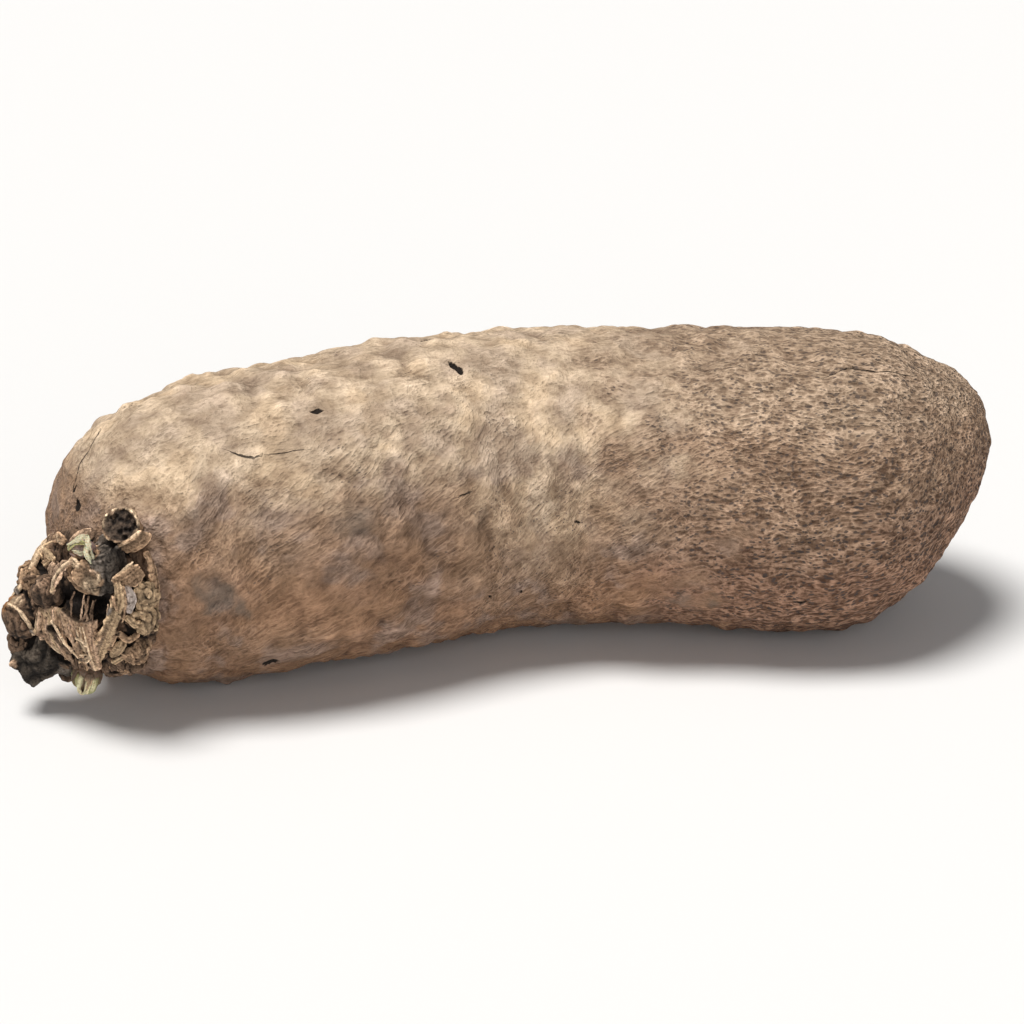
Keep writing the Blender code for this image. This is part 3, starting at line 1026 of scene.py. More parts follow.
@dataclass(frozen=True)
class Knob(Form):
    """A rounded lump, wrinkled along its axis and ringed round it."""

    centre: Triple
    radii: Triple
    way: Triple = (0.0, 0.0, 1.0)
    ribs: int = 0
    rib_depth: float = 0.3
    ring_pitch: float = 0.0
    ring_depth: float = 0.2
    seed: int = 1

    def axes(self) -> np.ndarray:
        """Two ways across the axis and the axis, as columns.

        Returns:
            The three columns.
        """
        axis = unit(self.way)
        first = unit(np.cross((0.0, 1.0, 0.0), axis)) if abs(axis[1]) < 0.9 else np.array((1.0, 0.0, 0.0))
        return np.stack([first, np.cross(axis, first), axis], axis=1)

    def reach(self) -> tuple[np.ndarray, np.ndarray]:
        """The lowest and highest corners of the box that holds it."""
        half = np.abs(self.axes()) @ np.array(self.radii) + 0.8
        return np.array(self.centre) - half, np.array(self.centre) + half

    def shape(self, place: np.ndarray) -> tuple[np.ndarray, np.ndarray]:
        """How far out of the lump each place is, and how light its grain is there.

        Args:
            place: an array with x, y and z last.

        Returns:
            Millimetres, under 0 inside it, and the grain from -1 to 1.
        """
        local = (place - np.array(self.centre)) @ self.axes()
        radii = np.array(self.radii)
        near = np.linalg.norm(local / radii, axis=-1)
        slope = np.linalg.norm(local / radii**2, axis=-1)
        distance = near * (near - 1.0) / np.maximum(slope, 1e-6)
        grain = np.zeros_like(distance)
        if self.ribs:
            wave = ragged(rib_places(local, self.ribs), self.seed, self.ribs)
            flat = np.hypot(local[..., 0] / radii[0], local[..., 1] / radii[1])
            distance = distance - self.rib_depth * wave * np.clip(flat * 1.5, 0.0, 1.0)
            grain = grain + 0.7 * wave
        if self.ring_pitch:
            wave = ragged(local[..., 2] / self.ring_pitch + 20.0, self.seed + 1)
            distance = distance - self.ring_depth * wave
            grain = grain + 0.7 * wave
        return distance, grain


@dataclass(frozen=True)
class Stem(Form):
    """A cut vine stub: fibrous bark round a dished face."""

    root: Triple
    tip: Triple
    root_radius: float
    tip_radius: float
    dish: float = 1.0
    ribs: int = 19
    rib_depth: float = 0.35
    burr: float = 0.5
    seed: int = 1

    def reach(self) -> tuple[np.ndarray, np.ndarray]:
        """The lowest and highest corners of the box that holds it."""
        return box_of((self.root, self.tip), max(self.root_radius, self.tip_radius) + self.burr + 1.0)

    def shape(self, place: np.ndarray) -> tuple[np.ndarray, np.ndarray]:
        """How far out of the stub each place is, and how light its grain is there.

        Args:
            place: an array with x, y and z last.

        Returns:
            Millimetres, under 0 inside it, and the grain from -1 to 1.
        """
        run = np.array(self.tip) - np.array(self.root)
        length = float(np.linalg.norm(run))
        axes = Knob(self.root, (1.0, 1.0, 1.0), tuple(run)).axes()
        local = (place - np.array(self.root)) @ axes
        along = local[..., 2]
        out = np.hypot(local[..., 0], local[..., 1])
        turn = rib_places(local, self.ribs)
        wave = ragged(turn + 0.8 * np.sin(along * 0.5), self.seed, self.ribs)
        share = np.clip(along / length, 0.0, 1.0)
        radius = self.root_radius + (self.tip_radius - self.root_radius) * share + self.rib_depth * wave
        hollow = 1.0 - smooth_step(0.62, 0.92, out / radius)
        lip = self.burr * ragged(turn * 0.7, self.seed + 5, self.ribs) * (1.0 - hollow)
        face = length - self.dish * hollow + lip
        distance = np.maximum(np.maximum(out - radius, (along - face) * 0.9), -along)
        return distance, np.where(along > face - 0.5, ragged(out * 1.3 + turn * 0.2, self.seed + 3), wave)


@dataclass(frozen=True)
class Ribbon(Form):
    """A strip of dry leaf base or bark along a path, or a round fibre where it is as thick as it is wide."""

    places: tuple[Triple, ...]
    widths: tuple[float, ...]
    thick: float = 0.5
    hub: Triple = (0.0, 0.0, -40.0)
    rag: float = 0.15
    curl: float = 0.0
    groove: float = 0.12
    streak: float = 0.9
    seed: int = 1

    def reach(self) -> tuple[np.ndarray, np.ndarray]:
        """The lowest and highest corners of the box that holds it."""
        return box_of(self.places, max(self.widths) * (1.0 + self.rag) + self.thick + 1.0)

    def curve(self) -> tuple[np.ndarray, np.ndarray]:
        """The path and its half widths, rounded off between the given places.

        Returns:
            The places and the half widths.
        """
        rows = np.concatenate([np.array(self.places), np.array(self.widths)[:, None]], axis=1)
        if len(rows) < 3:
            return rows[:, :3], rows[:, 3]
        padded = np.concatenate([2 * rows[:1] - rows[1:2], rows, 2 * rows[-1:] - rows[-2:-1]])
        made = [
            0.5 * (2 * start + (end - before) * t + (2 * before - 5 * start + 4 * end - after) * t**2
                   + (3 * start - before - 3 * end + after) * t**3)
            for before, start, end, after in zip(padded, padded[1:], padded[2:], padded[3:])
            for t in np.linspace(0.0, 1.0, 4, endpoint=False)
        ]
        smooth = np.array([*made, rows[-1]])
        return smooth[:, :3], smooth[:, 3]

    def shape(self, place: np.ndarray) -> tuple[np.ndarray, np.ndarray]:
        """How far out of the strip each place is, and how light its grain is there.

        Args:
            place: an array with x, y and z last.

        Returns:
            Millimetres, under 0 inside it, and the grain from -1 to 1.
        """
        path, widths = self.curve()
        distance = np.full(place.shape[:-1], 99.0)
        grain = np.zeros_like(distance)
        gone = 0.0
        for start, end, first, last in zip(path, path[1:], widths, widths[1:]):
            run = end - start
            length = float(np.linalg.norm(run))
            along = run / length
            offset = place - start
            share = np.clip(offset @ along / length, 0.0, 1.0)
            foot = offset - share[..., None] * run
            facing = (start + end) / 2 - np.array(self.hub)
            facing = unit(facing - along * (facing @ along))
            side = foot @ np.cross(along, facing)
            run_place = gone + share * length
            edge = ragged(run_place * 0.9 + np.where(side > 0, 17.3, 0.0), self.seed)
            width = (first + (last - first) * share) * (1.0 + self.rag * edge)
            thin = foot @ facing - self.curl * side**2 / np.maximum(width, 0.2)
            beyond = foot @ along
            thick = np.minimum(self.thick, width)
            away = np.sqrt(np.maximum(np.abs(side) - width + thick, 0.0) ** 2 + thin**2 + beyond**2) - thick
            wave = ragged(side / self.streak * 2.0 + 0.5 * ragged(run_place * 0.4, self.seed + 2) + 30.0, self.seed + 1)
            away = away - self.groove * wave
            closer = away < distance
            distance = np.where(closer, away, distance)
            grain = np.where(closer, wave, grain)
            gone += length
        return distance, grain


class Clay:
    """A block of clay on a fine grid: forms are added and cut, each with its paint, and what is left is meshed."""

    crumb: int = 250  # a loose bit with no more points than this is left out
    far: float = 3.0  # millimetres from any form, all through the empty block

    def __init__(self, low: Triple, high: Triple, cell: float) -> None:
        """Start with an empty block.

        Args:
            low: its lowest corner in millimetres.
            high: its highest corner.
            cell: the grid's pitch.
        """
        self.cell = cell
        self.low = np.array(low)
        counts = [int(math.ceil((b - a) / cell)) + 1 for a, b in zip(low, high)]
        self.ticks = [a + cell * np.arange(count) for a, count in zip(low, counts)]
        self.field = np.full(counts, self.far, dtype=np.float32)
        self.paint = np.full((*counts, 3), Paint.BARK.value, dtype=np.float32)
        self.beside = self.field.copy()

    def window(self, form: Form) -> tuple[tuple[slice, ...], np.ndarray, np.ndarray]:
        """The part of the block that a form reaches.

        Args:
            form: the form.

        Returns:
            The slices of the grid, how far out of the form each of their points is, and the form's grain there.
        """
        low, high = form.reach()
        cuts = []
        for ticks, first, last in zip(self.ticks, low - 0.8, high + 0.8):
            start = min(int(np.searchsorted(ticks, first)), len(ticks) - 2)
            cuts.append(slice(start, max(int(np.searchsorted(ticks, last)), start + 1)))
        grids = np.meshgrid(*(ticks[cut] for ticks, cut in zip(self.ticks, cuts)), indexing="ij")
        return tuple(cuts), *form.shape(np.stack(grids, axis=-1))

    def tinted(self, cuts: tuple[slice, ...], amount: np.ndarray, paint: Paint, grain: np.ndarray, play: float) -> None:
        """Paint a part of the block.

        Args:
            cuts: the slices of the grid.
            amount: how much of the new paint shows, from 0 to 1.
            paint: the paint.
            grain: its grain, from -1 to 1.
            play: how strongly the grain lightens and darkens it.
        """
        shade = np.array(paint.value) * (1.0 + play * grain[..., None])
        old = self.paint[cuts]
        self.paint[cuts] = old + (shade - old) * amount[..., None]

    def add(self, form: Form, paint: Paint, blend: float = 0.4, play: float = 0.7) -> None:
        """Add a form.

        Args:
            form: what is added.
            paint: its paint.
            blend: how softly it joins what is there, in millimetres.
            play: how strongly its grain shows in the paint.
        """
        cuts, distance, grain = self.window(form)
        old = self.field[cuts].copy()
        share = np.clip(0.5 + 0.5 * (old - distance) / blend, 0.0, 1.0)
        self.field[cuts] = old + (distance - old) * share - blend * share * (1.0 - share)
        self.tinted(cuts, np.clip(0.5 + (old - distance) / 0.4, 0.0, 1.0), paint, grain, play)

    def cut(self, form: Form, paint: Paint, blend: float = 0.3, play: float = 0.3) -> None:
        """Cut a form away.

        Args:
            form: what is cut.
            paint: the paint of the cut's walls.
            blend: how round its brim is, in millimetres.
            play: how strongly its grain shows in the paint.
        """
        cuts, distance, grain = self.window(form)
        old = self.field[cuts]
        share = np.clip(0.5 + 0.5 * (-distance - old) / blend, 0.0, 1.0)
        self.field[cuts] = old + (-distance - old) * share + blend * share * (1.0 - share)
        self.tinted(cuts, np.clip(1.0 - distance / 0.6, 0.0, 1.0), paint, grain, play)

    def stain(self, form: Form, paint: Paint, soft: float = 0.8, play: float = 0.3) -> None:
        """Paint what lies in a form, with an edge as soft as soft millimetres, and leave its shape."""
        cuts, distance, grain = self.window(form)
        self.tinted(cuts, np.clip(0.5 - distance / soft, 0.0, 1.0), paint, grain, play)

    def spread(self, lattice: np.ndarray, pitch: Sequence[float]) -> np.ndarray:
        """Values on a coarse lattice, drawn smoothly over the whole grid.

        Args:
            lattice: the values, from the block's lowest corner.
            pitch: the lattice's pitch along each axis.

        Returns:
            A value for each point of the grid.
        """
        for axis in range(3):
            at = (self.ticks[axis] - self.low[axis]) / pitch[axis]
            first = np.minimum(at.astype(int), lattice.shape[axis] - 2)
            share = (at - first).reshape([-1 if i == axis else 1 for i in range(3)])
            below, above = np.take(lattice, first, axis), np.take(lattice, first + 1, axis)
            lattice = below + (above - below) * share * share * (3.0 - 2.0 * share)
        return lattice

    def cloud(self, pitch: Sequence[float], seed: int) -> np.ndarray:
        """Smooth noise from -1 to 1 over the whole block.

        Args:
            pitch: the size of its swells along each axis, in millimetres.
            seed: which noise it is.

        Returns:
            A value for each point of the grid.
        """
        spans = [(ticks[-1] - ticks[0]) / size for ticks, size in zip(self.ticks, pitch)]
        lattice = np.random.default_rng(seed).uniform(-1.0, 1.0, [int(span) + 3 for span in spans])
        return self.spread(lattice, pitch)

    def crackle(self, depth: float, pitch: Sequence[float], seed: int, wide: float) -> None:
        """Run a net of cracks through all the clay, darkened as painted shade.

        Args:
            depth: how deep they are, in millimetres.
            pitch: how far they lie apart along each axis.
            seed: which net it is.
            wide: how wide they are, as a share of that.
        """
        crack = np.clip(1.0 - np.abs(self.cloud(pitch, seed)) / wide, 0.0, 1.0)
        self.field += (depth * crack).astype(np.float32)
        # Painted shade in the cracks.
        self.paint *= (1.0 - 0.6 * crack[..., None]).astype(np.float32)

    def landing(self, start: np.ndarray, way: np.ndarray) -> Optional[np.ndarray]:
        """Where a straight line first meets the clay.

        Args:
            start: where it starts.
            way: the way it goes, with a length of one.

        Returns:
            The place, or None where it misses.
        """
        places = start + np.arange(0.0, 80.0, self.cell / 2)[:, None] * way
        index = np.round((places - self.low) / self.cell).astype(int)
        inside = np.all((index >= 0) & (index < self.field.shape), axis=1)
        spots = tuple(index[inside].T)
        met = np.minimum(self.field[spots], self.beside[spots]) < 0.0
        return places[inside][met.argmax()] if met.any() else None

    def crowding(self, reach: float) -> np.ndarray:
        """How much clay lies round each point: about a half on open skin and more in a hollow.

        Args:
            reach: how far round it looks, in millimetres.

        Returns:
            Shares from 0 to 1.
        """
        cells = max(int(round(reach / self.cell)), 1)
        filled = (np.minimum(self.field, self.beside) < 0.0).astype(np.float32)
        for _ in range(2):
            for axis in range(3):
                sums = np.cumsum(np.pad(filled, [(cells + 1, cells) if i == axis else (0, 0) for i in range(3)]), axis)
                count = filled.shape[axis]
                upper = np.take(sums, np.arange(count) + 2 * cells + 1, axis)
                filled = (upper - np.take(sums, np.arange(count), axis)) / (2 * cells + 1)
        return filled

    def read(self, values: np.ndarray, places: np.ndarray) -> np.ndarray:
        """Values of the grid between its points.

        Args:
            values: one value or one row for each point of the grid.
            places: rows in cells from the lowest corner.

        Returns:
            A value or a row for each place.
        """
        limits = np.array(values.shape[:3]) - 2
        base = np.clip(places.astype(int), 0, limits)
        share = np.clip(places - base, 0.0, 1.0)
        total = 0.0
        for corner in range(8):
            step = np.array([corner >> axis & 1 for axis in range(3)])
            weight = np.prod(np.where(step, share, 1.0 - share), axis=1)
            rows = values[tuple((base + step).T)]
            total = total + rows * (weight if rows.ndim == 1 else weight[:, None])
        return total

    def meshed(self, name: str, place: Matrix, crowd: float) -> Piece:
        """Mesh the clay, without the crumbs that hang loose from it.

        Args:
            name: the piece's name.
            place: from the block's millimetres to the part's metres.
            crowd: how far round it looks for hollows, in millimetres.

        Returns:
            The piece, with its paint, its place in the block, its creases and its hollows.
        """
        grid = openvdb.FloatGrid(self.far)
        grid.copyFromArray(np.ascontiguousarray(self.field, dtype=np.float32))
        cells, quads = grid.convertToQuads(isovalue=0.0)
        cells, quads = np.array(cells, dtype=float), np.array(quads, dtype=int)
        edges = quad_edges(quads)
        island = np.arange(len(cells))
        while True:
            lowest = island.copy()
            for near, far in ((0, 1), (1, 0)):
                np.minimum.at(lowest, edges[:, near], island[edges[:, far]])
            lowest = lowest[lowest]
            if np.array_equal(lowest, island):
                break
            island = lowest
        kept = np.bincount(island)[island] > self.crumb
        number = np.cumsum(kept) - 1
        quads = number[quads[kept[quads[:, 0]]]]
        cells = cells[kept]

        normals = np.zeros_like(cells)
        faces = np.cross(cells[quads[:, 2]] - cells[quads[:, 0]], cells[quads[:, 3]] - cells[quads[:, 1]])
        for corner in range(4):
            for axis in range(3):
                normals[:, axis] += np.bincount(quads[:, corner], weights=faces[:, axis], minlength=len(cells))
        slopes = [self.read(self.field, cells + step) - self.read(self.field, cells - step) for step in np.eye(3)]
        if np.einsum("ij,ji->i", normals, np.array(slopes)).sum() <= 0:
            quads, normals = quads[:, ::-1], -normals
        normals /= np.maximum(np.linalg.norm(normals, axis=1), 1e-9)[:, None]

        local = self.low + cells * self.cell
        crease = np.einsum("ij,ij->i", local - relaxed(local, quad_edges(quads), 5), normals)
        turned = np.array(place)
        world = local @ turned[:3, :3].T + turned[:3, 3]
        piece = Piece(name, world, [tuple(quad) for quad in quads.tolist()])
        piece.colors = {"paint": self.read(self.paint, cells)}
        piece.vectors = {"block": local}
        piece.numbers = {"crease": crease, "hollow": self.read(self.crowding(crowd), cells)}
        return piece


@dataclass(frozen=True)
class BarkFinish:
    """The crown's dry, fibrous bark: its paint, with painted shade in every crease and hollow and painted highlights
    along its edges.
    """

    highlight_and_light_tone: Triple = (1.84, 1.88, 1.92)
    shade_and_dark_tone: Triple = (0.30, 0.27, 0.25)
    dirt_and_shade: Triple = (0.012, 0.008, 0.006)

    def made(self) -> bpy.types.Material:
        """Make the material.

        Returns:
            The material.
        """
        b = Bench("fibrous_bark")
        block = b.vector("block")
        crease, hollow = b.number("crease"), b.number("hollow")
        broad, fine = b.noise(block, 2.3), b.noise(block, 0.85)
        color = b.toned(
            b.color("paint"),
            (b.rise(broad, 0.46, 0.32) * 0.60, self.shade_and_dark_tone),
            (b.rise(broad, 0.54, 0.68) * 0.40, self.highlight_and_light_tone),
            (b.rise(fine, 0.52, 0.66) * 0.80, self.shade_and_dark_tone),
            (b.rise(fine, 0.47, 0.34) * 0.55, self.highlight_and_light_tone),
            # painted highlight along the edges
            (b.rise(crease + (fine - 0.5) * 0.15, 0.02, 0.16) * 0.95, self.highlight_and_light_tone),
        )
        # Painted shade, near-black, in the creases and the hollows.
        color = b.mix(b.rise(crease, -0.01, -0.12) * 0.97, color, self.dirt_and_shade)
        color = b.mix(b.rise(hollow + (broad - 0.5) * 0.12, 0.54, 0.66) * 0.98, color, self.dirt_and_shade)
        height = broad * 0.5 - fine * 0.5
        return b.finish(color, 0.85, height, Specular_IOR_Level=0.25)


@dataclass
class Crown:
    """The woody crown: a corky pad with knobs, cut stubs, and the torn bases of old leaves and stems."""

    seat: Triple = (-0.1441, -0.0383, 0.0509)
    yaw: float = 46.0
    dip: float = 10.0
    low: Triple = (-38.0, -43.0, -14.0)
    high: Triple = (25.0, 29.0, 22.0)
    cell: float = 0.385
    chip_count: int = 190
    kept_clear: tuple[tuple[float, ...], ...] = (
        # where no loose scales lie, as a place and how far round it: the cut face, the torn bud, the live bud,
        # the wide stub's end and the dark knobs
        (11.3, 24.1, -1.6, 5.6), (3.0, 18.5, 8.5, 4.5), (-8.4, -34.8, 7.8, 5.5), (-29.4, -34.2, 15.0, 6.0),
        (-27.5, -14.5, 14.0, 7.0), (-14.7, -2.2, 13.0, 5.0), (-22.0, -27.5, 12.0, 7.5),
    )
    nets: tuple[tuple[float, Triple, int, float], ...] = (
        # the nets of cracks: depth, pitch along each axis, which net, and width as a share of the pitch
        (0.9, (3.2, 6.0, 3.4), 23, 0.22),
        (0.6, (1.7, 2.6, 1.8), 24, 0.25),
    )
    swellings: tuple[tuple[float, Triple, int], ...] = (
        # the soft lumps all over it: height, pitch along each axis, and which noise it is
        (0.35, (1.4, 1.9, 1.4), 21),
        (0.6, (3.4, 5.0, 3.8), 22),
    )
    grit_height: float = 0.10
    grit_pitch: float = 1.2
    # how far the crown reaches into the tuber, and how far round each point its hollows are looked for
    root_depth: float = 1.0
    look_round: float = 2.0

    def frame(self, shift: np.ndarray) -> Matrix:
        """From the crown's millimetres to the part's metres.

        Args:
            shift: from the tuber's own frame to the part's.

        Returns:
            The matrix.
        """
        yaw, dip = math.radians(self.yaw), math.radians(self.dip)
        out = Vector((-math.cos(yaw) * math.cos(dip), -math.sin(yaw) * math.cos(dip), -math.sin(dip)))
        across = Vector((math.sin(yaw), -math.cos(yaw), 0.0))
        axes = Matrix((across, out.cross(across), out)).transposed().to_4x4()
        return Matrix.Translation(Vector(self.seat) + Vector(shift)) @ axes @ Matrix.Scale(MM, 4)

    def body(self, clay: Clay) -> None:
        """The corky pad and its knobs.

        Args:
            clay: what it is modelled in.
        """
        # The pad is dark umber: partly its own colour, partly painted shade where it shows between the parts on it.
        clay.add(Knob((-5, -8, -2), (24, 24.5, 10.5)), Paint.UMBER)
        for centre, radii, paint in (
            ((-16, 3, -1), (8, 8.5, 6.5), Paint.BARK),
            ((-24.3, -6.3, 3), (8.5, 9, 7), Paint.BARK),
            ((-17, -12, 6), (8.5, 9.5, 8), Paint.UMBER),
            ((-4, -15, 6.5), (10, 12.5, 7.5), Paint.UMBER),
            ((-29, -24, 12.5), (5, 5, 5), Paint.UMBER),
            ((-9, -28, 5), (7, 5.5, 6), Paint.UMBER),
            ((4.5, -27, 1.5), (8, 5.5, 5.5), Paint.UMBER),
            ((0.5, -30, 2.5), (4.5, 4.5, 4.5), Paint.UMBER),
            ((19, 1.5, 0.5), (4, 5, 5), Paint.OCHRE),
            ((18, -7.5, 1.5), (4.5, 5.5, 5), Paint.OCHRE),
            ((12, -19, 3), (6, 6, 5), Paint.BARK),
        ):
            clay.add(Knob(centre, radii), paint, 0.8)

    def stubs(self, clay: Clay) -> None:
        """The cut and broken vine stubs.

        Args:
            clay: what it is modelled in.
        """
        face, axis = np.array((11.3, 24.1, -1.6)), unit((0.37, 0.72, 0.55))
        clay.add(Stem((6, 12, -10), tuple(face), 5.4, 5.9, 0.5, 23, 0.25, 0.5, 3), Paint.BARK)
        clay.stain(Knob((11.3, 24.1, -1.8), (5.6, 5.6, 2.0), tuple(axis)), Paint.PITH, 0.5, 0.7)
        ways, turns = ways_across(axis), np.linspace(0.0, math.tau, 17)
        ring = tuple(tuple(face + 5.7 * spoke(turn, *ways) - 0.5 * axis) for turn in turns)
        widths = tuple(0.35 + 0.45 * abs(math.sin(0.5 * turn + 0.4)) ** 3 for turn in turns)
        clay.add(Ribbon(ring, widths, 0.42, tuple(face - 3.0 * axis), 0.4, seed=4), Paint.CORK, 0.4)
        # Small pits in the cut face, with painted shade on their walls.
        pick = picker(17)
        for _ in range(16):
            turn, out = pick(0.0, math.tau), 4.6 * math.sqrt(pick(0.0, 1.0))
            spot, size = face + out * spoke(turn, *ways) - 0.3 * axis, pick(0.45, 0.9)
            clay.cut(Knob(tuple(spot), (size, size, 1.3), tuple(axis)), Paint.PAINTED_SHADE, 0.2)
        clay.add(Stem((8, 4, 3), (5.2, 18.0, 4.5), 6.6, 5.6, 0.8, 15, 0.7, 1.8, 8), Paint.SLATE, 0.4, 0.9)
        clay.add(Knob((3, 9.3, 5.5), (8, 7.8, 8.5), (0.5, 0.35, 0.8), 31, 0.3, 0.9, 0.45, 12), Paint.BARK, 0.4, 0.6)
        clay.stain(Knob((7.5, 7.5, 13), (2.6, 4.0, 3.5)), Paint.CORK, 1.6)
        clay.add(Knob((-14.7, -2.2, 9.5), (5.8, 5.6, 6.3), (0.2, 0.75, 0.63), 15, 0.35, 1.0, 0.5, 15), Paint.UMBER,
                 0.4, 0.8)
        clay.add(Knob((-27.5, -14.5, 11), (6.9, 8.0, 6.9), (0.2, 0.8, 0.5), 21, 0.45, 1.6, 0.3, 16), Paint.UMBER,
                 0.4, 0.6)
        clay.stain(Knob((-31.5, -10.0, 11), (3.6, 3.4, 5)), Paint.ORANGE, 2.0)
        clay.stain(Knob((-27.5, -7.0, 15), (4.0, 1.6, 4)), Paint.CORK, 1.2)
        clay.add(Stem((-12, -20, 2), (-28.8, -33.7, 14.6), 8.8, 6.9, 2.8, 21, 0.8, 1.1, 17), Paint.MOSS, 0.8, 0.9)
        clay.stain(Knob((-30.0, -34.5, 15.5), (5.8, 5.8, 1.6), (-0.68, -0.55, 0.5)), Paint.PINK, 0.8, 0.7)
        # Painted shade inside the broken stem's dished end.
        clay.stain(Knob((-29.0, -33.6, 14.5), (4.4, 4.4, 1.8), (-0.68, -0.55, 0.5)), Paint.PAINTED_SHADE, 0.6)
        clay.add(Knob((-15.0, -32.2, 8.0), (3.8, 4.2, 4.2), ribs=9, rib_depth=0.5, seed=19), Paint.SLATE)
        clay.add(Knob((-18.2, -38.0, 6.5), (3.0, 2.6, 2.8), ribs=9, rib_depth=0.4, seed=20), Paint.UMBER)

